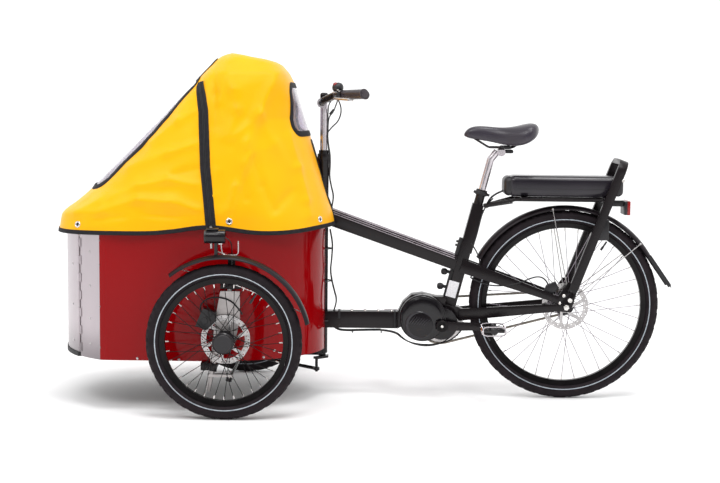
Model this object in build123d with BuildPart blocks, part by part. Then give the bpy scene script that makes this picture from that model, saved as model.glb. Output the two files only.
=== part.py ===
from build123d import *
import os
from math import atan2, cos, degrees, pi, radians, sin, sqrt, tan

# Electric cargo tricycle: two steered front wheels beside an oval load box with a soft hood,
# a centre motor at the crank, and one driven rear wheel. Millimetres, +Z up, the machine
# faces -X, the rider's left is -Y. Origin on the floor, in the middle of the whole machine.

# ---- driving dimensions: wheels ----
front_axle_x = -456.5        # front axle, from the origin
wheelbase = 1130.0
track = 804.0                # between the middle planes of the front tyres
front_tyre_r = 250.0         # 47-406 tyre
rear_tyre_r = 326.5          # 47-559 tyre
tyre_w = 47.0
bead_h = 3.3                 # how far the tyre's inner edge lies outside its section circle
rim_depth = 17.0
rim_w = 25.0
spoke_count = 36
spoke_r = 1.1
spoke_lean = 62.0            # degrees between a spoke's hub hole and its rim hole
disc_r = 80.0
disc_t = 1.8
caliper_gap = 2.5

# ---- load box, from the front axle ----
box_half_w = 302.0
box_front = -578.0
box_back = 307.0
box_bulge_r = 355.0
box_side_end = -84.0         # where the straight sides turn into the rounded back
box_corner_r = 60.0
box_bottom = 168.0
box_top = 618.0
wall = 8.0
floor_t = 12.0
bench_x = -80.0              # middle of the four bench holes
bench_length = 300.0
bench_width = 240.0
bench_hole_r = 3.3
strip_back = -417.0          # rear edge of the aluminium corner strips
door_half_w = 225.0
door_top = 571.0
door_gap = 5.0
lip_h = 12.0
lip_out = 3.0
hinge_r = 4.4
hinge_pin_r = 1.8
hinge_play = 0.25
knuckle_len = 29.0
rim_h = 10.0
rim_in = 14.0
door_bar_x = -478.0         # bar above the door

# ---- steering column, from the front axle ----
column_x = 298.0
head_r = 18.0
head_wall = 3.0
head_bottom = 148.0
head_top = 838.0
bearing_h = 14.0
steerer_r = 12.5
running_gap = 0.06
stem_top = 1005.0
bar_r = 11.1
grip_r = 15.0
grip_z = 1041.0
bar_half_w = 300.0
bar_back = 138.0             # how far the grips' ends lie behind the column

# ---- steered knuckles and links ----
caster = atan2(62.0, 293.0)  # kingpins lean back by this angle
pivot_x = -47.0              # kingpin axis at pivot_z
pivot_z = 137.0
kingpin_y = 330.0
kingpin_r = 8.0
kingpin_top = 440.0
lug_r = 14.0
plate_in = 336.0             # knuckle plate, from the middle plane
plate_out = 344.0
stub_r = 8.0
hub_in = 356.0               # inner end of a front hub
hub_out = 440.0
arm_z = 137.0                # steering arm under the column
drag_arm = (-18.0, -38.0)
tie_arm = 60.0
tie_drop = 14.0              # tie rod below its arms
drag_z = 98.0
tie_z = 128.0
link_r = 6.0
stud_r = 5.0
eye_r = 10.5
eye_h = 10.0
open_pivot_gap = 4.0

# ---- frame ----
bb_back = 421.0              # crank axis, ahead of the rear axle
crank_z = 258.0
crank_len = 170.0
crank_in = 76.0
crank_t = 14.0
pedal_in = 97.0
pedal_out = 190.0
tube_w = 40.0
beam_bottom = 238.0
beam_top = 296.0
motor_r = 73.5
motor_dx = -66.0             # motor body's middle, from the crank axis
motor_dz = 23.0
motor_left = 60.0
motor_right = 34.0
seat_lean = 14.6             # degrees from the vertical
seat_side = 38.0
seat_tube_r = 16.0
seat_dx = 61.0               # seat tube's axis at seat_z, from the crank axis
seat_z = 440.0
post_r = 13.0
stay_t = 12.0
stay_in_y = 27.0
drop_y = 67.0
drop_t = 5.0
axle_r = 6.0
leg_w = 30.0
leg_t = 18.0
hoop_top = 826.0
chain_w = 8.0
chain_h = 8.0
chain_line = 47.0
ring_pitch_r = 80.8
sprocket_pitch_r = 40.4
ring_gap = 0.4
battery_half_w = 57.0
battery_z0 = 700.0
battery_z1 = 773.0
fender_t = 2.0
fender_gap_rear = 15.5
fender_gap_front = 28.0
fender_w = 58.0
weld_gap = 0.2
seat_gap = 0.3

# ---- hood ----
hood_t = 3.0
hood_hem = 577.0
hood_top = 1172.0
slit_gap = 8.0
bow_r = 8.0

# ---- worked out ----
ax = front_axle_x
rear_x = front_axle_x + wheelbase
half_track = track / 2
bb_x = rear_x - bb_back
col_x = ax + column_x
lean = tan(radians(seat_lean))
king_dir = Vector(sin(caster), 0, cos(caster))
front_seat_r = front_tyre_r - tyre_w + bead_h
rear_seat_r = rear_tyre_r - tyre_w + bead_h

os.makedirs("parts", exist_ok=True)


def save(part, name):
    part.label = name
    export_step(part, f"parts/{name}.step")


def at_y(y):
    """Upright plane across the machine at this y, with X and Z as its own axes."""
    return Plane(origin=(0, y, 0), x_dir=(1, 0, 0), z_dir=(0, -1, 0))


def add_slab(points, y_low, y_high, mode=Mode.ADD):
    """Flat plate with this side outline, between two values of y."""
    with BuildSketch(at_y(y_high)) as face:
        with BuildLine():
            Polyline(*points, close=True)
        make_face()
    extrude(face.sketch, amount=y_high - y_low, mode=mode)


def add_disc(x, z, radius, y_low, y_high, mode=Mode.ADD):
    """Round bar across the machine."""
    with BuildSketch(at_y(y_high)) as face:
        with Locations((x, z)):
            Circle(radius)
    extrude(face.sketch, amount=y_high - y_low, mode=mode)


def add_block(x_low, x_high, y_low, y_high, z_low, z_high, mode=Mode.ADD):
    with BuildSketch(Plane.XY.offset(z_low)) as face:
        with Locations(((x_low + x_high) / 2, (y_low + y_high) / 2)):
            Rectangle(x_high - x_low, y_high - y_low)
    extrude(face.sketch, amount=z_high - z_low, mode=mode)


def add_bar(start, end, radius, mode=Mode.ADD):
    """Round bar between two points."""
    run = Vector(*end) - Vector(*start)
    helper = Vector(0, 0, 1) if abs(run.Z) < 0.7 * run.length else Vector(0, 1, 0)
    with BuildSketch(Plane(origin=start, x_dir=run.cross(helper), z_dir=run)) as face:
        Circle(radius)
    extrude(face.sketch, amount=run.length, mode=mode)


def add_spun(x, z, points, mode=Mode.ADD):
    """Solid turned about a wheel axis; the points are (radius, y)."""
    with BuildSketch(Plane(origin=(x, 0, z))) as face:
        with BuildLine():
            Polyline(*points, close=True)
        make_face()
    revolve(face.sketch, axis=Axis((x, 0, z), (0, 1, 0)), mode=mode)


def king_x(z):
    """X of the kingpin axis at a height."""
    return ax + pivot_x + (z - pivot_z) * tan(caster)


def on_king(side, z):
    """Point of a side's kingpin axis at a height."""
    return (king_x(z), side * kingpin_y, z)


def spread(side, y_near, y_far):
    """Low and high y of a stretch that lies on one side of the machine."""
    return sorted((side * y_near, side * y_far))


def seat_x(z):
    """X of the seat tube's axis at a height."""
    return bb_x + seat_dx + (z - seat_z) * lean


def seat_face(z, side):
    """X of the seat tube's front (-1) or rear (1) face at a height."""
    return seat_x(z) + side * (seat_side / 2 / cos(radians(seat_lean)) + weld_gap)


def add_spokes(x, z, hub_r, end_r, flanges, middle):
    """Laced spokes from two hub flanges to the rim."""
    for k in range(spoke_count):
        a = 2 * pi * k / spoke_count
        lean_to = radians(spoke_lean) * (1 if (k // 2) % 2 else -1)
        foot = (x + hub_r * cos(a + lean_to), flanges[k % 2], z + hub_r * sin(a + lean_to))
        add_bar(foot, (x + end_r * cos(a), middle, z + end_r * sin(a)), spoke_r)


# ---- load box ----
def box_plan(z, inset=0.0):
    """Plan of the load box: curved front, straight sides, rounded back."""
    radius = box_bulge_r - inset
    centre = ax + box_front + box_bulge_r
    half = box_half_w - inset
    corner = centre - sqrt(radius ** 2 - half ** 2)
    turn = ax + box_side_end
    with BuildSketch(Plane.XY.offset(z)) as face:
        with BuildLine():
            RadiusArc((corner, half), (corner, -half), -radius)
            Line((corner, -half), (turn, -half))
            EllipticalCenterArc((turn, 0), box_back - box_side_end - inset, half,
                                start_angle=-90, arc_size=180)
            Line((turn, half), (corner, half))
        make_face()
        fillet(face.vertices().sort_by(Axis.X)[0:2], box_corner_r - inset)
    return face.sketch


def add_wall(z_low, z_high, out=0.0, thick=wall):
    """Ring of the box wall, with the groove that the head tube lies in."""
    height = z_high - z_low
    extrude(box_plan(z_low, -out), amount=height)
    extrude(box_plan(z_low, thick - out), amount=height, mode=Mode.SUBTRACT)


def groove(z_low, z_high, radius, mode):
    with BuildSketch(Plane.XY.offset(z_low)) as face:
        with Locations((col_x, 0)):
            Circle(radius)
    extrude(face.sketch, amount=z_high - z_low, mode=mode)


groove_r = head_r + 4.0
hinge_out = 1.2              # hinge axis, outside the wall's face
hinge_x = ax + box_front + box_bulge_r - sqrt((box_bulge_r + hinge_out) ** 2 - door_half_w ** 2)
far = 1000.0

with BuildPart() as hollow:
    extrude(box_plan(box_bottom, wall), amount=box_top - box_bottom)
    groove(box_bottom, box_top, groove_r + wall, Mode.SUBTRACT)
with BuildPart() as box_shell:
    extrude(box_plan(box_bottom), amount=box_top - box_bottom)
    add(hollow.part, mode=Mode.SUBTRACT)
    groove(box_bottom, box_top, groove_r, Mode.SUBTRACT)
    add_block(-far - 500, ax + strip_back, -far, far, 0, far, mode=Mode.SUBTRACT)
save(box_shell.part, "box_shell")

with BuildPart() as strips:
    add_wall(box_bottom, box_top)
    add_block(ax + strip_back - weld_gap, far, -far, far, 0, far, mode=Mode.SUBTRACT)
    add_block(-far - 500, far, -door_half_w - hinge_r - hinge_play, door_half_w + door_gap / 2,
              0, far, mode=Mode.SUBTRACT)
save(strips.part, "corner_strips")

with BuildPart() as door_sweep:
    add_wall(box_bottom, box_bottom + floor_t, thick=wall + door_gap)
    add_block(-2 * far, ax + strip_back, -door_half_w - door_gap, door_half_w + door_gap, 0, far,
              mode=Mode.INTERSECT)
with BuildPart() as box_floor:
    extrude(box_plan(box_bottom, wall + seat_gap), amount=floor_t)
    groove(box_bottom, box_top, groove_r + wall + seat_gap, Mode.SUBTRACT)
    add(door_sweep.part, mode=Mode.SUBTRACT)
    with Locations(Location((ax + bench_x, 0, box_bottom + floor_t))):
        with GridLocations(bench_length, bench_width, 2, 2):
            Hole(bench_hole_r, depth=floor_t)
save(box_floor.part, "box_floor")

with BuildPart() as rim_hollow:
    extrude(box_plan(box_top, rim_in), amount=rim_h + 2)
    groove(box_top, box_top + rim_h + 2, groove_r + rim_in, Mode.SUBTRACT)
with BuildPart() as box_rim:
    extrude(box_plan(box_top + seat_gap, -1), amount=rim_h)
    add(rim_hollow.part, mode=Mode.SUBTRACT)
    groove(box_top, box_top + rim_h + 2, groove_r, Mode.SUBTRACT)
    add_block(-far - 500, ax + door_bar_x, -far, far, 0, far, mode=Mode.SUBTRACT)
    add_block(ax + door_bar_x, ax + door_bar_x + rim_in, -door_half_w - 20, door_half_w + 20,
              box_top + seat_gap, box_top + seat_gap + rim_h)
save(box_rim.part, "box_rim")

# ---- front door, its lip and its piano hinge ----
with BuildPart() as front_door:
    add_wall(box_bottom + lip_h, door_top)
    add_block(-far - 500, far, door_half_w - door_gap / 2, far, 0, far, mode=Mode.SUBTRACT)
    add_block(-far - 500, far, -far, -door_half_w + hinge_r + hinge_play, 0, far,
              mode=Mode.SUBTRACT)
    add_block(ax + strip_back, far, -far, far, 0, far, mode=Mode.SUBTRACT)
save(front_door.part, "front_door")

with BuildPart() as door_lip:
    add_wall(box_bottom - lip_out, box_bottom + lip_h - weld_gap, out=lip_out,
             thick=wall + lip_out)
    add_block(-far - 500, far, door_half_w - door_gap / 2, far, 0, far, mode=Mode.SUBTRACT)
    add_block(-far - 500, far, -far, -door_half_w + hinge_r + hinge_play, 0, far,
              mode=Mode.SUBTRACT)
    add_block(ax + strip_back, far, -far, far, 0, far, mode=Mode.SUBTRACT)
save(door_lip.part, "door_lip")

hinge_z0 = box_bottom + lip_h + 4
knuckles = int((door_top - 6 - hinge_z0) // knuckle_len)
hinge_turn = atan2(door_half_w, sqrt(box_bulge_r ** 2 - door_half_w ** 2))
leaf_reach = 14.0
leaf_t = 1.6
for owner, name in ((0, "hinge_leaf_box"), (1, "hinge_leaf_door")):
    way = 2 * owner - 1
    with BuildPart() as leaf:
        for k in range(owner, knuckles, 2):
            with BuildSketch(Plane.XY.offset(hinge_z0 + k * knuckle_len + hinge_play)) as ring:
                with Locations((hinge_x, -door_half_w)):
                    Circle(hinge_r)
                mid = leaf_reach / 2
                with Locations((hinge_x - way * mid * sin(hinge_turn),
                                -door_half_w + way * mid * cos(hinge_turn))):
                    Rectangle(leaf_t, leaf_reach, rotation=degrees(hinge_turn))
                if owner == 1:
                    with Locations((hinge_x, -door_half_w)):
                        Circle(hinge_pin_r + hinge_play, mode=Mode.SUBTRACT)
            extrude(ring.sketch, amount=knuckle_len - 2 * hinge_play)
        if owner == 0:
            add_bar((hinge_x, -door_half_w, hinge_z0 - 2),
                    (hinge_x, -door_half_w, hinge_z0 + knuckles * knuckle_len + 2), hinge_pin_r)
    save(leaf.part, name)


def on_front(y, out):
    """Point beside the curved front, this far outside the wall, and the way out."""
    centre = Vector(ax + box_front + box_bulge_r, 0, 0)
    foot = Vector(-sqrt(box_bulge_r ** 2 - y ** 2), y, 0)
    return centre + foot * ((box_bulge_r + out) / box_bulge_r)


with BuildPart() as door_latch:
    latch_y = door_half_w - 30
    rise = Vector(0, 0, door_top - 60)
    add_bar(tuple(on_front(latch_y, seat_gap + 0.5) + rise), tuple(on_front(latch_y, 9) + rise), 13)
    add_bar(tuple(on_front(latch_y, 12) + rise - Vector(0, 0, 16)),
            tuple(on_front(latch_y, 12) + rise + Vector(0, 0, 14)), 5)
save(door_latch.part, "door_latch")

# ---- chassis under the box ----
keel_w = 50.0
keel_front = -420.0          # front end of the keel, from the front axle
cross_front = 40.0           # length of the front cross member
cross_rear = (170.0, 200.0)
cross_half = 145.0
axle_beam = (-84.0, -36.0)
keel_top = box_bottom - seat_gap
keel_bottom = 143.0
with BuildPart() as underframe:
    add_block(ax + keel_front, col_x, -keel_w / 2, keel_w / 2, keel_bottom, keel_top)
    add_block(ax + axle_beam[0], ax + axle_beam[1], -kingpin_y + 2, kingpin_y - 2,
              keel_bottom, keel_top)
    add_block(ax + keel_front, ax + keel_front + cross_front, -cross_half - 5, cross_half + 5,
              keel_bottom, keel_top)
    add_block(ax + cross_rear[0], ax + cross_rear[1], -cross_half + 5, cross_half - 5,
              keel_bottom, keel_top)
    groove(keel_bottom - 1, keel_top + 1, head_r + weld_gap, Mode.SUBTRACT)
    for side in (-1, 1):
        foot = (king_x(keel_bottom), side * kingpin_y, keel_bottom)
        head = (king_x(keel_top), side * kingpin_y, keel_top)
        add_bar(foot, head, lug_r)
    for side in (-1, 1):
        foot = (king_x(keel_bottom - 20), side * kingpin_y, keel_bottom - 20)
        head = (king_x(keel_top + 20), side * kingpin_y, keel_top + 20)
        add_bar(foot, head, kingpin_r + running_gap, mode=Mode.SUBTRACT)
lug_z0 = 411.0
lug_z1 = 430.0
lug_x = king_x((lug_z0 + lug_z1) / 2)


def box_half(x):
    """Half width of the box behind its straight sides."""
    share = max(0.0, x - ax - box_side_end) / (box_back - box_side_end)
    return box_half_w * sqrt(1 - share ** 2)


with BuildPart() as brackets:
    for side in (-1, 1):
        low, high = sorted((side * box_half(lug_x + 40), side * kingpin_y))
        add_block(lug_x - 33, lug_x + 33, low, high, lug_z0, lug_z1)
        add_bar((king_x(lug_z0), side * kingpin_y, lug_z0),
                (king_x(lug_z1), side * kingpin_y, lug_z1), lug_r)
        add_bar((king_x(lug_z0 - 20), side * kingpin_y, lug_z0 - 20),
                (king_x(lug_z1 + 20), side * kingpin_y, lug_z1 + 20),
                kingpin_r + running_gap, mode=Mode.SUBTRACT)
    extrude(box_plan(lug_z0 - 30, -seat_gap), amount=lug_z1 - lug_z0 + 60, mode=Mode.SUBTRACT)
with BuildPart() as chassis:
    add(underframe.part)
    add(brackets.part)
save(chassis.part, "chassis")

# ---- steered knuckles, with fender, lamp and caliper ----
disc_y0 = hub_in - disc_t
fender_r = front_tyre_r + fender_gap_front
front_fender_arc = 116.0
front_fender_turn = -13.0
lamp_z = 587.0
lamp_r = 22.0
for side, name in ((-1, "left"), (1, "right")):
    with BuildPart() as caliper:
        add_slab([(ax - 96, 296), (ax - 72, 352), (ax - 30, 338), (ax - 30, 310),
                  (ax - 62, 280)], *spread(side, plate_in, disc_y0 + disc_t + caliper_gap + 9))
        add_disc(ax, front_tyre_r, disc_r + 4,
                 *spread(side, disc_y0 - caliper_gap, disc_y0 + disc_t + caliper_gap),
                 mode=Mode.SUBTRACT)
    with BuildPart() as knuckle:
        add_bar(on_king(side, drag_z - 22), on_king(side, kingpin_top), kingpin_r)
        add_slab([(ax - 18, lug_z0 - 6), (ax + 44, lug_z0 - 6), (ax + 45, 318), (ax + 26, 225),
                  (ax - 18, 205), (king_x(176) + 12, 176), (king_x(176) - 12, 176),
                  (ax - 34, 318)], *spread(side, plate_in, plate_out))
        add_disc(ax, front_tyre_r, 18, *spread(side, plate_in, plate_out + 5))
        add_disc(ax, front_tyre_r, stub_r, *spread(side, plate_out, hub_out - 22))
        tie_x = king_x(tie_z) + tie_arm
        add_slab([(king_x(tie_z) - 12, tie_z - 4), (tie_x + 10, tie_z - 4), (tie_x + 10, tie_z + 4),
                  (king_x(tie_z) - 12, tie_z + 4)], *spread(side, kingpin_y - 10, kingpin_y + 10))
        stud_foot = Vector(tie_x, side * kingpin_y, tie_z)
        add_bar(tuple(stud_foot), tuple(stud_foot - king_dir * (tie_drop + 8)), stud_r)
        if side > 0:
            drag_foot = Vector(king_x(drag_z) + drag_arm[0], kingpin_y + drag_arm[1], drag_z)
            add_bar(on_king(side, drag_z - 14), tuple(drag_foot - Vector(0, 0, 14)), 5)
            add_bar(tuple(drag_foot - Vector(0, 0, 19)), tuple(drag_foot + Vector(0, 0, 8)), stud_r)
        add(caliper.part)
    save(knuckle.part, f"knuckle_{name}")

    with BuildPart() as fender:
        with BuildSketch(Plane(origin=(ax, 0, front_tyre_r))) as section:
            with Locations((fender_r, side * half_track)):
                Rectangle(fender_t, fender_w)
        revolve(section.sketch, axis=Axis((ax, 0, front_tyre_r), (0, 1, 0)),
                revolution_arc=-front_fender_arc)
    with BuildPart() as turned:
        add(fender.part.rotate(Axis((ax, 0, front_tyre_r), (0, 1, 0)), front_fender_turn))
        under = fender_r - fender_t / 2 - seat_gap
        add_block(ax + 5, ax + 29, *spread(side, kingpin_y - 4, kingpin_y + 4), kingpin_top + 2,
                  front_tyre_r + under - 8)
        add_block(ax + 5, ax + 29, *spread(side, kingpin_y - 4, half_track), front_tyre_r + under - 8,
                  front_tyre_r + under + 2)
    save(turned.part, f"front_fender_{name}")

    with BuildPart() as lamp:
        add_bar((ax - 56, side * half_track, lamp_z), (ax + 4, side * half_track, lamp_z), lamp_r)
        add_block(ax - 30, ax - 20, *spread(side, half_track - 8, half_track + 8),
                  front_tyre_r + fender_r + fender_t / 2 - 0.4, lamp_z - lamp_r + 4)
    save(lamp.part, f"headlamp_{name}")

    # ---- front wheel ----
    with BuildPart() as tyre:
        with BuildSketch(Plane(origin=(ax, 0, front_tyre_r))) as section:
            with Locations((front_tyre_r - tyre_w / 2, side * half_track)):
                Circle(tyre_w / 2)
            with Locations((front_seat_r / 2, side * half_track)):
                Rectangle(front_seat_r, tyre_w, mode=Mode.SUBTRACT)
        revolve(section.sketch, axis=Axis((ax, 0, front_tyre_r), (0, 1, 0)))
    save(tyre.part, f"front_tyre_{name}")

    with BuildPart() as wheel:
        top = front_seat_r - seat_gap
        add_spun(ax, front_tyre_r, [(top, side * half_track - rim_w / 2),
                                    (top, side * half_track + rim_w / 2),
                                    (top - rim_depth, side * half_track + rim_w / 3),
                                    (top - rim_depth, side * half_track - rim_w / 3)])
        add_spun(ax, front_tyre_r, [
            (stub_r + running_gap, side * hub_in), (22, side * hub_in), (22, side * (hub_in + 4)),
            (18, side * (hub_in + 4)), (18, side * 370), (31, side * 370), (31, side * 374),
            (18, side * 374), (18, side * 422), (31, side * 422), (34, side * 427), (34, side * 434),
            (26, side * hub_out), (0, side * hub_out), (0, side * (hub_out - 20)),
            (stub_r + running_gap, side * (hub_out - 20))])
        add_spokes(ax, front_tyre_r, 28, top - rim_depth + 1, (side * 372, side * 424),
                   side * half_track)
    save(wheel.part, f"front_wheel_{name}")

    with BuildPart() as disc:
        add_disc(ax, front_tyre_r, disc_r, *spread(side, disc_y0, disc_y0 + disc_t))
        add_disc(ax, front_tyre_r, stub_r + 3, *spread(side, disc_y0, disc_y0 + disc_t),
                 mode=Mode.SUBTRACT)
    save(disc.part, f"front_disc_{name}")

# ---- steering column, bars and links ----
with BuildPart() as head_tube:
    with BuildSketch(Plane.XZ) as section:
        with BuildLine():
            bore = steerer_r + running_gap
            slack = head_r - head_wall
            Polyline((col_x + bore, head_bottom), (col_x + head_r, head_bottom),
                     (col_x + head_r, head_top - bearing_h - 9),
                     (col_x + head_r + 3, head_top - bearing_h - 9),
                     (col_x + head_r + 3, head_top), (col_x + bore, head_top),
                     (col_x + bore, head_top - bearing_h), (col_x + slack, head_top - bearing_h - 4),
                     (col_x + slack, head_bottom + bearing_h + 4),
                     (col_x + bore, head_bottom + bearing_h), close=True)
        make_face()
    revolve(section.sketch, axis=Axis((col_x, 0, 0), (0, 0, 1)))
save(head_tube.part, "head_tube")

arm_end = Vector(col_x + drag_arm[0], drag_arm[1], 0)
with BuildPart() as steerer:
    add_bar((col_x, 0, arm_z - 5), (col_x, 0, stem_top), steerer_r)
    with BuildSketch(Plane.XY.offset(arm_z - 5)) as arm_plan:
        with BuildLine():
            Line((col_x + 22, 14), (col_x + 22, -14))
            Line((col_x + 22, -14), (arm_end.X + 2, arm_end.Y - 12))
            Line((arm_end.X + 2, arm_end.Y - 12), (arm_end.X - 11, arm_end.Y))
            Line((arm_end.X - 11, arm_end.Y), (col_x + 22, 14))
        make_face()
    extrude(arm_plan.sketch, amount=8)
    add_bar((arm_end.X, arm_end.Y, drag_z - 10), (arm_end.X, arm_end.Y, arm_z), stud_r)
    add_bar((col_x - 12, 0, stem_top + 6), (col_x - 0.01, 0, stem_top - 6), 10)
    add_disc(col_x - 6, stem_top + 6, 17, -24, 24)
    add_disc(col_x - 6, stem_top + 6, bar_r + running_gap, -25, 25, mode=Mode.SUBTRACT)
save(steerer.part, "steering_column")

clamp_x = col_x - 6
clamp_z = stem_top + 6
bar_mid = 50.0
bar_path = [(clamp_x, -bar_mid, clamp_z), (clamp_x + 10, -bar_mid - 40, clamp_z + 10),
            (clamp_x + 45, -bar_mid - 100, grip_z - 4), (col_x + bar_back, -bar_half_w, grip_z)]
with BuildPart() as handlebar:
    add_disc(clamp_x, clamp_z, bar_r, -bar_mid, bar_mid)
    for side in (-1, 1):
        points = [(x, -side * y, z) for x, y, z in bar_path]
        with BuildLine() as route:
            FilletPolyline(*points, radius=30)
        with BuildSketch(Plane(origin=points[0], z_dir=route.line % 0)) as section:
            Circle(bar_r)
        sweep(section.sketch, path=route.line)
save(handlebar.part, "handlebar")

bar_run = (Vector(*bar_path[3]) - Vector(*bar_path[2])).normalized()
bar_ahead = Vector(bar_run.Y, -bar_run.X, 0).normalized()


def on_bar(side, back, ahead=0.0, drop=0.0):
    """Point beside the grip's line, this far from the bar's end."""
    p = Vector(*bar_path[3]) - bar_run * back + bar_ahead * ahead
    return (p.X, -side * p.Y, p.Z - drop)


grip_len = 118.0
lever_at = 128.0
pod_at = 156.0
with BuildPart() as grips:
    for side in (-1, 1):
        add_bar(on_bar(side, grip_len), on_bar(side, -4), grip_r)
        add_bar(on_bar(side, grip_len + 2), on_bar(side, 0), bar_r + running_gap,
                mode=Mode.SUBTRACT)
save(grips.part, "grips")

with BuildPart() as levers:
    for side in (-1, 1):
        add_bar(on_bar(side, lever_at + 7), on_bar(side, lever_at - 7), bar_r + 4)
        add_bar(on_bar(side, lever_at, 12, 6), on_bar(side, lever_at - 4, 34, 12), 6.5)
        add_bar(on_bar(side, lever_at - 2, 33, 12), on_bar(side, 22, 40, 18), 4.5)
        add_bar(on_bar(side, lever_at + 9), on_bar(side, lever_at - 9), bar_r + running_gap,
                mode=Mode.SUBTRACT)
    pod = on_bar(-1, pod_at)
    add_bar(on_bar(-1, pod_at + 7), on_bar(-1, pod_at - 7), bar_r + 4)
    add_block(pod[0] - 14, pod[0] + 14, pod[1] - 14, pod[1] + 14, pod[2] + 9, pod[2] + 38)
    add_bar(on_bar(-1, pod_at + 30), on_bar(-1, pod_at - 30), bar_r + running_gap,
            mode=Mode.SUBTRACT)
save(levers.part, "bar_controls")

# ---- links of the steering ----
with BuildPart() as drag_link:
    link_start = Vector(arm_end.X, arm_end.Y, drag_z)
    link_end = Vector(king_x(drag_z) + drag_arm[0], kingpin_y + drag_arm[1], drag_z)
    open_r = stud_r + open_pivot_gap
    add_bar(tuple(link_start), tuple(link_end), link_r)
    for p, bore in ((link_start, stud_r + running_gap), (link_end, open_r)):
        low = (p.X, p.Y, drag_z - eye_h / 2)
        high = (p.X, p.Y, drag_z + eye_h / 2)
        add_bar(low, high, bore + eye_r - stud_r)
    for p, bore in ((link_start, stud_r + running_gap), (link_end, open_r)):
        low = (p.X, p.Y, drag_z - eye_h)
        high = (p.X, p.Y, drag_z + eye_h)
        add_bar(low, high, bore, mode=Mode.SUBTRACT)
save(drag_link.part, "drag_link")

with BuildPart() as tie_rod:
    tie_eye = Vector(king_x(tie_z) + tie_arm, 0, tie_z) - king_dir * tie_drop
    ends = [Vector(tie_eye.X, side * kingpin_y, tie_eye.Z) for side in (-1, 1)]
    add_bar(tuple(ends[0]), tuple(ends[1]), link_r - 1)
    for p in ends:
        add_bar(tuple(p - king_dir * eye_h / 2), tuple(p + king_dir * eye_h / 2), eye_r)
    for p in ends:
        add_bar(tuple(p - king_dir * eye_h), tuple(p + king_dir * eye_h), stud_r + running_gap,
                mode=Mode.SUBTRACT)
save(tie_rod.part, "tie_rod")

# ---- frame ----
def top_edge(x):
    """Upper edge of the sloping top tube."""
    return 650 - (x - ax - 327) * (650 - 500) / (747 - 327)


top_tube_h = 56.0
with BuildPart() as top_tube:
    z_hi = top_edge(seat_face(500, -1))
    x_hi = seat_face(z_hi, -1)
    z_lo = top_edge(x_hi - 14) - top_tube_h
    x_lo = seat_face(z_lo, -1)
    add_slab([(col_x, top_edge(col_x)), (x_hi, z_hi), (x_lo, z_lo),
              (col_x, top_edge(col_x) - top_tube_h - 4)], -tube_w / 2, tube_w / 2)
    groove(0, 900, head_r + weld_gap, Mode.SUBTRACT)
save(top_tube.part, "top_tube")

motor_x = bb_x + motor_dx
motor_z = crank_z + motor_dz
lobe_r = 55.0
cradle_front = motor_x - 85
with BuildPart() as main_beam:
    add_slab([(col_x, beam_bottom), (cradle_front - weld_gap, beam_bottom),
              (cradle_front - weld_gap, beam_top), (col_x, beam_top)], -tube_w / 2, tube_w / 2)
    groove(0, 900, head_r + weld_gap, Mode.SUBTRACT)
save(main_beam.part, "main_beam")

cradle_top = motor_z + 81
seat_foot = 322.0
with BuildPart() as cradle:
    add_slab([(cradle_front, beam_bottom), (cradle_front, beam_top), (motor_x - 68, 330),
              (motor_x - 38, cradle_top - 5), (motor_x, cradle_top), (motor_x + 47, cradle_top - 11),
              (seat_face(cradle_top - 11, -1), cradle_top - 11),
              (seat_face(seat_foot, -1), seat_foot), (motor_x, seat_foot - 30)], -30, 30)
    add_disc(motor_x, motor_z, motor_r + weld_gap, -31, 31, mode=Mode.SUBTRACT)
    add_disc(bb_x, crank_z + 4, lobe_r + weld_gap, -31, 31, mode=Mode.SUBTRACT)
with BuildPart() as motor:
    add_disc(motor_x, motor_z, motor_r, -31, motor_right)
    add_disc(bb_x, crank_z + 4, lobe_r, -motor_left, motor_right)
    add_disc(motor_x, motor_z, motor_r + 6.5, -motor_left, -31)
    add_disc(motor_x - 6, crank_z, 42, -crank_in + 6, -motor_left)
    add_disc(bb_x, crank_z, 12 + running_gap, -far, far, mode=Mode.SUBTRACT)
save(motor.part, "motor")

seat_axis = Vector(sin(radians(seat_lean)), 0, cos(radians(seat_lean)))


def on_seat(z, forward=0.0):
    return (seat_x(z) - forward, 0, z)


post_foot = 560.0
square_top = 670.0
tube_top = 702.0
with BuildPart() as seat_tube:
    with BuildSketch(Plane(origin=on_seat(seat_foot), x_dir=(0, 1, 0), z_dir=seat_axis)) as box:
        Rectangle(seat_side, seat_side)
    extrude(box.sketch, amount=(square_top - seat_foot) / cos(radians(seat_lean)))
    add_bar(on_seat(square_top - 1), on_seat(tube_top), seat_tube_r)
    add_bar(on_seat(tube_top - 1), on_seat(tube_top + 18), seat_tube_r + 3)
    lever_x = seat_x(tube_top + 9) + 16
    add_bar((lever_x, -10, tube_top + 5), (lever_x, -44, tube_top + 5), 4)
    add_bar(on_seat(post_foot - 5), on_seat(tube_top + 40), post_r + running_gap,
            mode=Mode.SUBTRACT)
save(seat_tube.part, "seat_tube")

post_bend = 825.0
rail_y = 22.0
rail_r = 3.5
bend = on_seat(post_bend)
tip = (bend[0] + 22, 0, post_bend + 27)
rail_z = tip[2] + 14


def add_rail(side, radius, mode=Mode.ADD):
    """One of the two bent saddle rails."""
    ends = [(tip[0] - 80, side * 12, rail_z + 30), (tip[0] - 30, side * rail_y, rail_z),
            (tip[0] + 50, side * rail_y, rail_z), (tip[0] + 104, side * rail_y, rail_z + 34)]
    with BuildLine() as rail:
        FilletPolyline(*ends, radius=18)
    with BuildSketch(Plane(origin=ends[0], z_dir=rail.line % 0)) as section:
        Circle(radius)
    sweep(section.sketch, path=rail.line, mode=mode)


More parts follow.
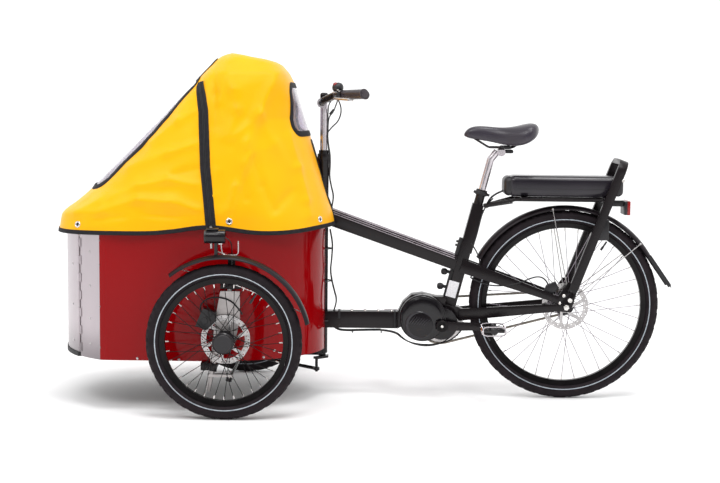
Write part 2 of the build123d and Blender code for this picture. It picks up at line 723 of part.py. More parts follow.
with BuildPart() as seat_post:
    with BuildLine() as route:
        FilletPolyline(on_seat(post_foot), bend, tip, radius=20)
    with BuildSketch(Plane(origin=on_seat(post_foot), z_dir=seat_axis)) as section:
        Circle(post_r)
    sweep(section.sketch, path=route.line)
    add_disc(tip[0] + 12, tip[2] - 2, 14, -27, 27)
    for side in (-1, 1):
        add_rail(side, rail_r)
save(seat_post.part, "seat_post")

with BuildPart() as saddle:
    with BuildSketch(at_y(90)) as profile:
        with BuildLine():
            Spline((bb_x + 69, 902), (bb_x + 80, 928), (bb_x + 110, 938), (bb_x + 190, 934),
                   (bb_x + 278, 951), (bb_x + 312, 945), (bb_x + 322, 918))
            Spline((bb_x + 322, 918), (bb_x + 290, 897), (bb_x + 210, 890), (bb_x + 120, 890),
                   (bb_x + 69, 902))
        make_face()
    extrude(profile.sketch, amount=180)
    with BuildSketch(Plane.XY.offset(860)) as plan:
        with BuildLine():
            Spline((bb_x + 68, 0), (bb_x + 84, 19), (bb_x + 150, 27), (bb_x + 215, 55),
                   (bb_x + 270, 82), (bb_x + 312, 68), (bb_x + 323, 0))
            Spline((bb_x + 323, 0), (bb_x + 312, -68), (bb_x + 270, -82), (bb_x + 215, -55),
                   (bb_x + 150, -27), (bb_x + 84, -19), (bb_x + 68, 0))
        make_face()
    extrude(plan.sketch, amount=120, mode=Mode.INTERSECT)
    for side in (-1, 1):
        add_rail(side, rail_r + seat_gap, mode=Mode.SUBTRACT)
save(saddle.part, "saddle")

# ---- stays and dropouts ----
axle_z = rear_tyre_r
drop_x = rear_x - 24
stay_out_y = drop_y + drop_t / 2


def add_stay(front, back, h0, h1):
    """Flat-sided stay that tapers from its front end to its back end."""
    run = Vector(*back) - Vector(*front)
    with BuildSketch(Plane(origin=front, x_dir=(0, 1, 0), z_dir=run)) as first:
        Rectangle(stay_t, h0)
    with BuildSketch(Plane(origin=back, x_dir=(0, 1, 0), z_dir=run)) as second:
        Rectangle(stay_t, h1)
    loft(sections=[first.sketch.face(), second.sketch.face()])


stay_top_y = seat_side / 2 + weld_gap + stay_t / 2
with BuildPart() as rear_stays:
    for side in (-1, 1):
        add_stay((bb_x + 50, side * stay_in_y, 289),
                 (drop_x + 12, side * stay_out_y, axle_z - 0.5), 42, 25)
    add_block(drop_x, far, -far, far, 0, far, mode=Mode.SUBTRACT)
    add_block(-far, bb_x + 59, -far, far, 0, far, mode=Mode.SUBTRACT)
    for side in (-1, 1):
        add_stay((bb_x + 66, side * stay_top_y, 460),
                 (drop_x + 12, side * stay_out_y, axle_z + 19.5), 48, 22)
    add_block(drop_x, far, -far, far, 0, far, mode=Mode.SUBTRACT)
    for side in (-1, 1):
        low, high = sorted((side * drop_y, side * (drop_y + drop_t)))
        add_slab([(drop_x - 6, axle_z - 14.5), (drop_x - 6, axle_z + 33.5),
                  (rear_x + 6, axle_z + 85.5), (rear_x + 42, axle_z + 73.5),
                  (rear_x + 26, axle_z + 13.5), (rear_x + 16, axle_z - 18.5)], low, high)
        low, high = sorted((side * (drop_y + drop_t), side * (drop_y + drop_t + 8)))
        add_disc(rear_x, rear_tyre_r, 11, low, high)
    add_disc(rear_x, rear_tyre_r, axle_r, -drop_y - drop_t - 12, drop_y + drop_t + 12)
save(rear_stays.part, "rear_stays")

foot_x = seat_x(seat_foot)
drop_back = sin(radians(seat_lean)) * seat_side / 2
with BuildPart() as yoke:
    add_slab([(foot_x - 30, seat_foot - 2), (foot_x - 24, seat_foot + 4),
              (foot_x + 18.4, seat_foot - drop_back), (bb_x + 84, 306), (bb_x + 84, 276),
              (bb_x + 59, 268), (bb_x + 45, 290)],
             -stay_in_y + stay_t / 2 - 0.8, stay_in_y - stay_t / 2 + 0.8)
    with BuildSketch(Plane(origin=on_seat(seat_foot - seat_gap), x_dir=(0, 1, 0),
                           z_dir=seat_axis)) as foot_cut:
        Rectangle(80, 80)
    extrude(foot_cut.sketch, amount=30, mode=Mode.SUBTRACT)
    add_disc(bb_x, crank_z + 4, lobe_r + weld_gap, -far, far, mode=Mode.SUBTRACT)
with BuildPart() as motor_cradle:
    add(cradle.part)
    add(yoke.part)
save(motor_cradle.part, "motor_cradle")

# ---- rack hoop, rails, battery, lamp, lock ----
hoop_x = rear_x + 181
rack_tube_r = 7.0
leg_y = drop_y + drop_t + weld_gap + leg_t / 2
with BuildPart() as hoop:
    foot = Vector(rear_x + 14, 0, axle_z + 39.5)
    head = Vector(hoop_x, 0, hoop_top - leg_w / 2)
    rise = (head - foot).normalized()
    hoop_plane = Plane(origin=tuple(foot), x_dir=(0, 1, 0), z_dir=Vector(0, 1, 0).cross(rise))
    tall = (head - foot).length
    with BuildSketch(hoop_plane) as arch:
        with Locations((0, tall / 2)):
            Rectangle(2 * leg_y + leg_t, tall)
        fillet(arch.vertices().group_by(Axis.Z)[-1], 42)
        with Locations((0, (tall - leg_t) / 2)):
            Rectangle(2 * leg_y - leg_t, tall - leg_t, mode=Mode.SUBTRACT)
    extrude(arch.sketch, amount=leg_w / 2, both=True)
rail_half = 40.0
with BuildPart() as rack:
    add(hoop.part)
    rail_height = battery_z0 - 9
    for side in (-1, 1):
        points = [(seat_face(664, 1) + 2.5, side * 12, 664), (bb_x + 244, side * rail_half, rail_height),
                  (hoop_x - 52, side * rail_half, rail_height)]
        for start, end in zip(points, points[1:]):
            add_bar(start, end, rack_tube_r)
        with Locations(points[1]):
            Sphere(rack_tube_r)
    for x in (bb_x + 262, hoop_x - 60):
        add_block(x, x + 24, -leg_y + leg_t / 2 - 1, leg_y - leg_t / 2 + 1,
                  rail_height - 3, rail_height + 8.7)
save(rack.part, "rack")

with BuildPart() as battery:
    add_block(bb_x + 204, bb_x + 611, -battery_half_w, battery_half_w, battery_z0, battery_z1)
    fillet(battery.edges().filter_by(Axis.Z), 26)
    fillet(battery.faces().sort_by(Axis.Z)[-1].edges(), 14)
save(battery.part, "battery")

with BuildPart() as rear_lamp:
    add_block(bb_x + 617, bb_x + 632, -42, 42, 641, 686)
    add_block(hoop_x - 36 + seat_gap, bb_x + 618, -12, 12, 668, rail_height - 3 - seat_gap)
save(rear_lamp.part, "rear_lamp")

with BuildPart() as ring_lock:
    for side in (-1, 1):
        low, high = sorted((side * 48, side * (leg_y - leg_t / 2 - seat_gap)))
        add_slab([(rear_x + 92, axle_z + 229.5), (rear_x + 140, axle_z + 229.5),
                  (rear_x + 140, axle_z + 300.5), (rear_x + 118, axle_z + 300.5)], low, high)
save(ring_lock.part, "ring_lock")

# ---- rear fender ----
fender_rear_r = rear_tyre_r + fender_gap_rear
rear_fender_arc = 122.0
rear_fender_turn = -30.0
flap_angle = 31.0
fender_stay_r = 2.0
with BuildPart() as fender_arc:
    with BuildSketch(Plane(origin=(rear_x, 0, rear_tyre_r))) as section:
        with Locations((fender_rear_r, 0)):
            Rectangle(fender_t, fender_w)
    revolve(section.sketch, axis=Axis((rear_x, 0, rear_tyre_r), (0, 1, 0)),
            revolution_arc=-rear_fender_arc)
with BuildPart() as rear_guard:
    add(fender_arc.part.rotate(Axis((rear_x, 0, rear_tyre_r), (0, 1, 0)), rear_fender_turn))
    flap_x = rear_x + fender_rear_r * cos(radians(flap_angle))
    flap_z = rear_tyre_r + fender_rear_r * sin(radians(flap_angle))
    add_slab([(flap_x, flap_z), (flap_x + 2, flap_z + 1), (rear_x + 368, axle_z + 66.5),
              (rear_x + 365, axle_z + 64.5)], -25, 25)
    for side in (-1, 1):
        for turn in (98, 40):
            reach = fender_rear_r
            end = (rear_x + reach * cos(radians(turn)), side * (fender_w / 2 - 1),
                   rear_tyre_r + reach * sin(radians(turn)))
            add_bar((rear_x + 14, side * (drop_y - 2.4), rear_tyre_r + 18), end, fender_stay_r)
save(rear_guard.part, "rear_fender")

# ---- rear wheel ----
with BuildPart() as tyre:
    with BuildSketch(Plane(origin=(rear_x, 0, rear_tyre_r))) as section:
        with Locations((rear_tyre_r - tyre_w / 2, 0)):
            Circle(tyre_w / 2)
        with Locations((rear_seat_r / 2, 0)):
            Rectangle(rear_seat_r, tyre_w, mode=Mode.SUBTRACT)
    revolve(section.sketch, axis=Axis((rear_x, 0, rear_tyre_r), (0, 1, 0)))
save(tyre.part, "rear_tyre")

rear_disc_y = -48.0
with BuildPart() as rear_wheel:
    top = rear_seat_r - seat_gap
    add_spun(rear_x, rear_tyre_r, [(top, -rim_w / 2), (top, rim_w / 2),
                                   (top - rim_depth, rim_w / 3), (top - rim_depth, -rim_w / 3)])
    bore = axle_r + running_gap
    add_spun(rear_x, rear_tyre_r, [
        (bore, rear_disc_y), (20, rear_disc_y), (20, -40), (24, -36), (33, -36), (33, -32),
        (27, -32), (27, 30), (33, 30), (33, 34), (24, 34), (24, chain_line + 3),
        (bore, chain_line + 3)])
    add_disc(rear_x, rear_tyre_r, sprocket_pitch_r - chain_h / 2 - ring_gap,
             chain_line - 1.5, chain_line + 1.5)
    add_disc(rear_x, rear_tyre_r, bore, -far, far, mode=Mode.SUBTRACT)
    add_spokes(rear_x, rear_tyre_r, 30, top - rim_depth + 1, (-34, 32), 0)
save(rear_wheel.part, "rear_wheel")

with BuildPart() as disc:
    add_disc(rear_x, rear_tyre_r, disc_r, rear_disc_y - disc_t, rear_disc_y)
    add_disc(rear_x, rear_tyre_r, axle_r + 3, -far, far, mode=Mode.SUBTRACT)
save(disc.part, "rear_disc")

with BuildPart() as caliper:
    add_slab([(rear_x - 78, axle_z + 39.5), (rear_x - 66, axle_z + 71.5),
              (rear_x - 34, axle_z + 85.5), (rear_x - 22, axle_z + 59.5),
              (rear_x - 48, axle_z + 39.5)], rear_disc_y - disc_t - caliper_gap - 2.5, rear_disc_y + 9)
    add_disc(rear_x, rear_tyre_r, disc_r + 4, rear_disc_y - disc_t - caliper_gap,
             rear_disc_y + caliper_gap, mode=Mode.SUBTRACT)
save(caliper.part, "brake_caliper_rear")

# ---- cranks, chain and pedals ----
with BuildPart() as crank:
    add_disc(bb_x, crank_z, 12, -crank_in - 1, crank_in + 1)
    for side in (-1, 1):
        y_in, y_out = sorted((side * crank_in, side * (crank_in + crank_t)))
        tip_x = bb_x - side * crank_len
        add_slab([(bb_x + side * 18, crank_z - 16), (bb_x + side * 18, crank_z + 16),
                  (tip_x - side * 14, crank_z + 11), (tip_x - side * 14, crank_z - 11)],
                 y_in, y_out)
        p_in, p_out = sorted((side * crank_in, side * (pedal_out - 4)))
        add_disc(tip_x, crank_z, 6, p_in, p_out)
    add_disc(bb_x, crank_z, ring_pitch_r - chain_h / 2 - ring_gap, chain_line - 1.5,
             chain_line + 1.5)
    add_disc(bb_x, crank_z, 30, chain_line - 1.5, crank_in + 1)
save(crank.part, "crankset")

with BuildPart() as chain:
    for grow, how in ((chain_h / 2, Mode.ADD), (-chain_h / 2, Mode.SUBTRACT)):
        with BuildSketch(at_y(chain_line + chain_w / 2)) as loop:
            with BuildLine():
                CenterArc((bb_x, crank_z), ring_pitch_r + grow, 0, 360)
                CenterArc((rear_x, rear_tyre_r), sprocket_pitch_r + grow, 0, 360)
            make_hull()
        extrude(loop.sketch, amount=chain_w, mode=how)
save(chain.part, "chain")

for side, name in ((-1, "left"), (1, "right")):
    with BuildPart() as pedal:
        tip_x = bb_x - side * crank_len
        low, high = sorted((side * pedal_in, side * pedal_out))
        add_block(tip_x - 42, tip_x + 42, low, high, crank_z - 12, crank_z + 12)
        fillet(pedal.edges().filter_by(Axis.Y), 6)
        add_disc(tip_x, crank_z, 6 + running_gap, *sorted((0, side * (pedal_out - 3))),
                 mode=Mode.SUBTRACT)
    save(pedal.part, f"pedal_{name}")

# ---- hood: bows, shell and clear windows ----
hood_wide_x = ax - 190.0
hood_rows = [                # height, front, rear, half width at the outside
    (hood_hem, -585, 337, 320), (640, -562, 330, 316), (708, -486, 307, 303),
    (905, -298, 249, 262), (1074, -136, 195, 222), (1130, -86, 166, 204),
    (hood_top, -38, 120, 140)]


def hood_ring(z, front, rear, half, inset):
    """Egg-shaped level line of the hood."""
    points = []
    mid = min(hood_wide_x, (ax + front + ax + rear) / 2)
    if z > 800:
        mid = (2 * ax + front + rear) / 2
    for k in range(20):
        a = 2 * pi * k / 20
        reach = (ax + rear - mid if cos(a) > 0 else mid - ax - front) - inset
        power = 2 / 2.5 if cos(a) > 0 else 2 / (3.8 if z < 700 else 3.0)
        x = mid + reach * (1 if cos(a) > 0 else -1) * abs(cos(a)) ** power
        y = (half - inset) * (1 if sin(a) > 0 else -1) * abs(sin(a)) ** power
        points.append((x, y))
    with BuildSketch(Plane.XY.offset(z)) as face:
        with BuildLine():
            Spline(*points, periodic=True)
        make_face()
    return face.sketch.face()


def add_hood(inset, drop, mode=Mode.ADD):
    rows = [(z - (drop if z == hood_top else 0), f, r, h) for z, f, r, h in hood_rows]
    loft(sections=[hood_ring(z, f, r, h, inset) for z, f, r, h in rows], ruled=True, mode=mode)


window_low = 722.0
window_high = 1085.0
rear_low = 905.0
rear_high = 1072.0
window_half_w = 170.0


with BuildPart() as window_zones:
    add_block(ax - 560, ax - 40, -window_half_w, window_half_w, window_low, window_high)
    add_block(ax + 130, ax + 300, -window_half_w, window_half_w, rear_low, rear_high)
with BuildPart() as hood:
    add_hood(0, 0)
    add_hood(hood_t, hood_t, mode=Mode.SUBTRACT)
    add(window_zones.part, mode=Mode.SUBTRACT)
    add_block(col_x - head_r - slit_gap, far, -head_r - slit_gap, head_r + slit_gap, 0, 880,
              mode=Mode.SUBTRACT)
save(hood.part, "hood")

with BuildPart() as panes:
    add_hood(hood_t / 3, hood_t / 3)
    add_hood(2 * hood_t / 3, 2 * hood_t / 3, mode=Mode.SUBTRACT)
    add(window_zones.part, mode=Mode.INTERSECT)
save(panes.part, "hood_windows")

bow_feet = box_top + rim_h + 3.7
with BuildPart() as bows:
    for foot_x, top_x, top_z, top_y in ((-70, 15, hood_top - hood_t - bow_r - seat_gap, 90),
                                        (60, 130, 1112, 110)):
        foot_y = box_half(ax + foot_x) - rim_in / 2
        points = [(ax + foot_x, -foot_y, bow_feet), (ax + top_x, -top_y, top_z),
                  (ax + top_x, top_y, top_z), (ax + foot_x, foot_y, bow_feet)]
        with BuildLine() as route:
            FilletPolyline(*points, radius=60)
        with BuildSketch(Plane(origin=points[0], z_dir=route.line % 0)) as section:
            Circle(bow_r)
        sweep(section.sketch, path=route.line)
save(bows.part, "hood_bows")
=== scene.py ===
from math import atan2, ceil, copysign, cos, exp, hypot, inf, pi, radians, sin, sqrt

import bmesh
import bpy
from bpy.props import (BoolProperty, FloatProperty, FloatVectorProperty, IntProperty,
                       PointerProperty)
from mathutils import Matrix, Vector, noise
from mathutils.bvhtree import BVHTree


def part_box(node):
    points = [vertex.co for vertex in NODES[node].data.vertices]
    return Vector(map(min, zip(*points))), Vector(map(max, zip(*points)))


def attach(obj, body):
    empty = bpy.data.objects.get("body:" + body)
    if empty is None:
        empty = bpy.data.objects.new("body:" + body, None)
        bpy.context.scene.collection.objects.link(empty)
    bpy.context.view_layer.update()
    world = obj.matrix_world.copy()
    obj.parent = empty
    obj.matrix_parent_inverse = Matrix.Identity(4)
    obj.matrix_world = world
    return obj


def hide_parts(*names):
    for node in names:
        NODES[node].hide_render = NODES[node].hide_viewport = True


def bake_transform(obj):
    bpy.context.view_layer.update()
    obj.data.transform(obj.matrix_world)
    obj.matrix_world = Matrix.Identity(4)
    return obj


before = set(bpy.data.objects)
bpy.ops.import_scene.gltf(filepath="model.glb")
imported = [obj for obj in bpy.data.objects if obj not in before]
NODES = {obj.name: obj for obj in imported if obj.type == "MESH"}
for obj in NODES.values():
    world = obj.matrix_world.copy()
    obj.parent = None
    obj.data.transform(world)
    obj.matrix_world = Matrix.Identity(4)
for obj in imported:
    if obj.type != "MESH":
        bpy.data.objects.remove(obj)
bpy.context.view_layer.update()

bl_info = {
    "name": "Cargo tricycle finish",
    "version": (1, 0, 0),
    "blender": (4, 5, 0),
    "location": "View3D > Sidebar > Tricycle",
    "description": "Hood, tyres, saddle, cables and finishes of an electric cargo tricycle",
    "category": "Object",
}

MM = 0.001
FULL = 2 * pi
X, Y, Z = (Vector(axis) for axis in ((1, 0, 0), (0, 1, 0), (0, 0, 1)))
SIDES = (("left", -1), ("right", 1))
BOTH = (-1, 1)


def middle(node):
    low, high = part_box(node)
    return (low + high) / 2


FRONT = {side: middle(f"front_tyre_{side}") for side, _ in SIDES}
REAR = middle("rear_tyre")
BOTTOM = (709, 258)       # the crank's axle: behind the front axle and above the floor
REAR_AXLE = (1130, 326.5)


def at(x, y, z):
    """Metres in the frame from millimetres behind the front axle, across and above the floor."""
    return Vector((FRONT["left"].x + x * MM, y * MM, z * MM))


def spot(place):
    """A vector is metres in the frame; a plain triple is millimetres, as at() takes them."""
    return place if isinstance(place, Vector) else at(*place)


def polar(angle, reach=1.0):
    """Step in the machine's middle plane."""
    return Vector((reach * cos(angle), 0, reach * sin(angle)))


def circle(radius, count, x=0.0, y=0.0):
    """Places evenly round a circle."""
    return [(x + radius * cos(FULL * k / count), y + radius * sin(FULL * k / count))
            for k in range(count)]


def unit(value):
    """The value held between 0 and 1."""
    return min(max(value, 0.0), 1.0)


def bell(value):
    """1 at nothing, falling off smoothly on both sides."""
    return exp(-value * value)


# ------------------------------------------------------------------ sizes that a user may change
class TricycleSizes(bpy.types.PropertyGroup):
    tread: FloatProperty(name="Tread depth", description="Height of the tyre's shoulder blocks",
                         default=0.0011, min=0.0, max=0.004, unit="LENGTH")
    tyre_steps: IntProperty(name="Tread blocks", description="Blocks around each tyre",
                            default=120, min=60, max=200)
    hood_thickness: FloatProperty(name="Hood cloth", description="Thickness of the coated cloth",
                                  default=0.0012, min=0.0005, max=0.003, unit="LENGTH")
    crease_depth: FloatProperty(name="Crease depth", description="Scale of the hood's creases",
                                default=1.0, min=0.0, max=2.0)
    binding: FloatProperty(name="Binding width", description="Width of the black edge tape",
                           default=0.014, min=0.008, max=0.03, unit="LENGTH")
    edge: FloatProperty(name="Edge radius", description="Rounding of the frame tubes' edges",
                        default=0.002, min=0.0005, max=0.005, unit="LENGTH")


class TricycleColours(bpy.types.PropertyGroup):
    hood: FloatVectorProperty(name="Hood", description="Colour of the coated cloth",
                              subtype="COLOR", size=3, default=(0.96, 0.445, 0.0), min=0, max=1)
    panel: FloatVectorProperty(name="Box", description="Colour of the box's lacquer",
                               subtype="COLOR", size=3, default=(0.245, 0.0005, 0.002),
                               min=0, max=1)
    worn: BoolProperty(name="Handling marks", description="Fine marks in the gloss",
                       default=True)


# ------------------------------------------------------------------ modelling, in millimetres
def only(*things):
    bpy.ops.object.select_all(action="DESELECT")
    for thing in things:
        thing.select_set(True)
    bpy.context.view_layer.objects.active = things[0]


def settle(thing):
    """Puts an object's place, turn and size into its mesh."""
    only(thing)
    bpy.ops.object.transform_apply(location=True, rotation=True, scale=True)
    return thing


def link(name, data):
    """New object in the scene."""
    thing = bpy.data.objects.new(name, data)
    bpy.context.scene.collection.objects.link(thing)
    return thing


def as_mesh(thing):
    only(thing)
    bpy.ops.object.convert(target="MESH")
    return bpy.context.object


def edit(thing, *steps):
    """Runs mesh operators, each with its settings, on the whole mesh."""
    only(thing)
    bpy.ops.object.mode_set(mode="EDIT")
    for name, settings in steps:
        bpy.ops.mesh.select_all(action="SELECT")
        getattr(bpy.ops.mesh, name)(**settings)
    bpy.ops.object.mode_set(mode="OBJECT")
    return thing


OUTWARD = ("normals_make_consistent", {"inside": False})


def joined(pieces):
    only(*pieces)
    if len(pieces) > 1:
        bpy.ops.object.join()
    return pieces[0]


def dress(thing, *names):
    """Gives a piece its finishes."""
    thing.data.materials.clear()
    for name in names:
        thing.data.materials.append(FINISH[name])
    return thing


def clad(name, *pieces):
    """Joins pieces of one finish."""
    return dress(joined(pieces), name)


def paint(thing, names, rule):
    """Gives a piece several finishes; the rule picks one for each face from its middle."""
    dress(thing, *names)
    for face in thing.data.polygons:
        face.material_index = int(rule(face.center))
    return thing


def modify(thing, kind, **settings):
    """Applies one modifier at once."""
    only(thing)
    added = thing.modifiers.new("Step", kind)
    for key, value in settings.items():
        setattr(added, key, value)
    bpy.ops.object.modifier_apply(modifier=added.name)
    return thing


def soften(thing, width, segments=2, angle=35):
    """Rounds the edges that turn by more than this angle."""
    return modify(thing, "BEVEL", width=width * MM, segments=segments, limit_method="ANGLE",
                  angle_limit=radians(angle), use_clamp_overlap=True)


def finish(name, body, pieces, stands_for=(), smooth=35):
    """Joins the pieces under one name, on the body that carries them."""
    thing = settle(joined(pieces))
    thing.name = thing.data.name = name
    bpy.ops.object.shade_smooth_by_angle(angle=radians(smooth))
    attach(thing, body)
    if stands_for:
        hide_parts(*stands_for)
    return thing


def from_faces(name, points, faces):
    """Mesh object from points and their faces."""
    mesh = bpy.data.meshes.new(name)
    mesh.from_pydata([tuple(p) for p in points], [], faces)
    mesh.update()
    return link(name, mesh)


def rod(start, end, radius, sides=16, tip=None):
    """Round bar, tapered where tip is given."""
    start, end = spot(start), spot(end)
    run = end - start
    bpy.ops.mesh.primitive_cone_add(
        vertices=sides, radius1=radius * MM, radius2=(radius if tip is None else tip) * MM,
        depth=run.length, location=(start + end) / 2,
        rotation=run.to_track_quat("Z", "Y").to_euler())
    return settle(bpy.context.object)


def cube(place, size, turn, edge, segments):
    """Box by its middle, size and turn."""
    bpy.ops.mesh.primitive_cube_add(size=1, location=place)
    made = bpy.context.object
    made.scale, made.rotation_euler = size, turn
    settle(made)
    return soften(made, edge, segments) if edge else made


def block(corner, other, edge=0.0, segments=2):
    """Box between two corners, with rounded edges."""
    corner, other = spot(corner), spot(other)
    size = [abs(b - a) for a, b in zip(corner, other)]
    return cube((corner + other) / 2, size, (0, 0, 0), edge, segments)


def bar(start, end, across, high, edge=0.0):
    """Flat-sided bar between two points of one upright plane along the machine."""
    start, end = spot(start), spot(end)
    run = end - start
    return cube((start + end) / 2, (run.length, across * MM, high * MM),
                run.to_track_quat("X", "Z").to_euler(), edge, 2)


def swept(places, centre, axis, steps, angle=FULL, weld=0.02, capped=False):
    """Closed outline of places turned about an axis."""
    bpy.ops.mesh.primitive_circle_add(vertices=len(places), radius=0.01)
    made = bpy.context.object
    for corner, place in zip(made.data.vertices, places):
        corner.co = place
    return edit(made, *([("edge_face_add", {})] if capped else []),
                ("spin", {"steps": steps, "angle": angle, "center": centre, "axis": axis}),
                ("remove_doubles", {"threshold": weld * MM}), OUTWARD)


def spun(profile, centre, axis=Y, steps=64):
    """Closed outline of (radius, distance along the axis) turned about an axis."""
    centre, axis = spot(centre), Vector(axis).normalized()
    out = axis.orthogonal().normalized()
    return swept([centre + (out * radius + axis * along) * MM for radius, along in profile],
                 centre, axis, steps)


def on_surface(node, place):
    """Nearest place on a CAD node, and the way out of it."""
    _, near, way, _ = NODES[node].closest_point_on_mesh(place)
    return near, way


def bolt(place, way, radius, height=None):
    """Screw head with a socket."""
    height = height or radius * 0.8
    lip = radius * 0.18
    return spun([(0, 0), (radius, 0), (radius, height - lip), (radius - lip, height),
                 (radius * 0.55, height), (radius * 0.5, height * 0.45), (0, height * 0.45)],
                place, way, steps=12)


def hose(points, radius, sides=3):
    """Smooth tube along guiding points."""
    curve = bpy.data.curves.new("hose", "CURVE")
    curve.dimensions = "3D"
    spline = curve.splines.new("NURBS")
    spline.points.add(len(points) - 1)
    for point, place in zip(spline.points, points):
        point.co = (*spot(place), 1)
    spline.order_u = 3
    spline.use_endpoint_u = True
    spline.resolution_u = 6
    curve.bevel_depth = radius * MM
    curve.bevel_resolution = sides
    curve.use_fill_caps = True
    return as_mesh(link("hose", curve))


def cut_sheet(thick, centre, outlines):
    """Upright flat sheet cut along closed outlines, in metres."""
    curve = bpy.data.curves.new("sheet", "CURVE")
    curve.dimensions = "2D"
    curve.fill_mode = "BOTH"
    curve.extrude = thick / 2
    for outline in outlines:
        spline = curve.splines.new("POLY")
        spline.points.add(len(outline) - 1)
        for point, (x, y) in zip(spline.points, outline):
            point.co = (x, y, 0, 1)
        spline.use_cyclic_u = True
    made = as_mesh(link("sheet", curve))
    made.rotation_euler = (pi / 2, 0, 0)
    made.location = centre
    return settle(made)


TAPE_SECTION = ((-0.5, 0.0), (-0.42, 0.5), (0.42, 0.5), (0.5, 0.0), (0.42, -0.5), (-0.42, -0.5))


def tape(points, normals, width, thick, closed=False):
    """Flat woven tape laid along points, with soft edges and both ends closed."""
    count, around = len(points), len(TAPE_SECTION)
    verts, faces = [], []
    for i in range(count):
        ahead = points[(i + 1) % count] if closed or i < count - 1 else points[i]
        behind = points[i - 1] if closed or i > 0 else points[i]
        side = (ahead - behind).cross(normals[i]).normalized()
        up = side.cross(ahead - behind).normalized()
        for across, rise in TAPE_SECTION:
            verts.append(points[i] + (side * across * width + up * rise * thick) * MM)
    for i in range(count if closed else count - 1):
        j = (i + 1) % count
        for k in range(around):
            m = (k + 1) % around
            faces.append((i * around + k, i * around + m, j * around + m, j * around + k))
    if not closed:
        faces.append(tuple(range(around))[::-1])
        faces.append(tuple((count - 1) * around + k for k in range(around)))
    return edit(from_faces("tape", verts, faces), OUTWARD)


def copied(thing, move=None):
    """Copy with its own mesh, moved by a matrix."""
    mesh = thing.data.copy()
    if move is not None:
        mesh.transform(move)
    return link(thing.name, mesh)


def rounded_node(node, width, segments=2):
    """A CAD node's own shape with its sharp edges rounded."""
    made = edit(copied(NODES[node]), ("remove_doubles", {"threshold": 0.01 * MM}),
                ("dissolve_limited", {"angle_limit": radians(0.6)}))
    return soften(made, width, segments)


# ------------------------------------------------------------------ finishes
def linear(colour):
    """sRGB hex to the linear colour that shaders take."""
    out = []
    for k in (1, 3, 5):
        c = int(colour[k:k + 2], 16) / 255
        out.append(c / 12.92 if c <= 0.04045 else ((c + 0.055) / 1.055) ** 2.4)
    return (*out, 1.0)


def shade(colour):
    """Hex text or linear colour, as a shader's four values."""
    return linear(colour) if isinstance(colour, str) else (*colour[:3], 1.0)


def add_node(tree, kind, inputs=None, **settings):
    """Adds a node with its settings, its values and its links."""
    made = tree.nodes.new("ShaderNode" + kind)
    for key, value in settings.items():
        setattr(made, key, value)
    for key, value in (inputs or {}).items():
        if isinstance(value, bpy.types.NodeSocket):
            tree.links.new(value, made.inputs[key])
        else:
            made.inputs[key].default_value = value
    return made


def ramp(tree, value, start, end, low=0.0, high=1.0, kind="LINEAR"):
    return add_node(tree, "MapRange", {"Value": value, "From Min": start, "From Max": end,
                                       "To Min": low, "To Max": high},
                    interpolation_type=kind).outputs[0]


def texture(tree, kind, size, stretch=(1, 1, 1), **values):
    """Texture over the machine; size of its patches in metres."""
    place = add_node(tree, "TexCoord")
    spread = add_node(tree, "Mapping", {"Vector": place.outputs["Object"], "Scale": stretch})
    return add_node(tree, kind, {"Vector": spread.outputs[0], "Scale": 1 / size, **values})


def vary(tree, shader, dark, light, size, detail=3.0, stretch=(1, 1, 1)):
    """Colour that drifts between two near tones."""
    patches = texture(tree, "TexNoise", size, stretch, Detail=detail).outputs["Fac"]
    blend = add_node(tree, "Mix", {0: ramp(tree, patches, 0.35, 0.65), 6: shade(dark),
                                   7: shade(light)}, data_type="RGBA")
    tree.links.new(blend.outputs[2], shader.inputs["Base Color"])


def roughen(tree, shader, low, high, size, stretch=(1, 1, 1)):
    """Gloss that differs from place to place, as handling and dust leave it."""
    patches = texture(tree, "TexNoise", size, stretch, Detail=4.0).outputs["Fac"]
    tree.links.new(ramp(tree, patches, 0.3, 0.7, low, high), shader.inputs["Roughness"])


def raise_relief(tree, shader, height, depth):
    bump = add_node(tree, "Bump", {"Height": height, "Strength": 1.0, "Distance": depth})
    tree.links.new(bump.outputs[0], shader.inputs["Normal"])


def grain(tree, shader, size, depth, stretch=(1, 1, 1), kind="TexNoise"):
    """Fine relief; size and depth in metres."""
    output = "Distance" if kind == CELLS else "Fac"
    raise_relief(tree, shader, texture(tree, kind, size, stretch).outputs[output], depth)


def paint_low_reflection(tree, shader, low, high, dark):
    """Paints a dark reflection into a finish toward the machine's lower edge, between two heights.
    """
    colour = shader.inputs["Base Color"].links[0].from_socket
    place = add_node(tree, "TexCoord")
    parts = add_node(tree, "SeparateXYZ", {0: place.outputs["Object"]})
    share = ramp(tree, parts.outputs[2], low, high, dark, 1.0, "SMOOTHSTEP")
    mixed = add_node(tree, "VectorMath", {0: colour, "Scale": share}, operation="SCALE")
    tree.links.new(mixed.outputs[0], shader.inputs["Base Color"])


def weave(tree, shader, thread, depth):
    """Plain weave over the cloth's own UV map, in metres."""
    place = add_node(tree, "TexCoord")
    waves = [add_node(tree, "TexWave", {"Vector": place.outputs["UV"], "Scale": 0.314 / thread,
                                        "Distortion": 0.6, "Detail": 1.0},
                      bands_direction=way).outputs["Fac"] for way in ("X", "Y")]
    raise_relief(tree, shader, greater(tree, *waves), depth)


def greater(tree, one, other):
    return add_node(tree, "Math", {0: one, 1: other}, operation="MAXIMUM").outputs[0]


CELLS = "TexVoronoi"
FINISH = {}


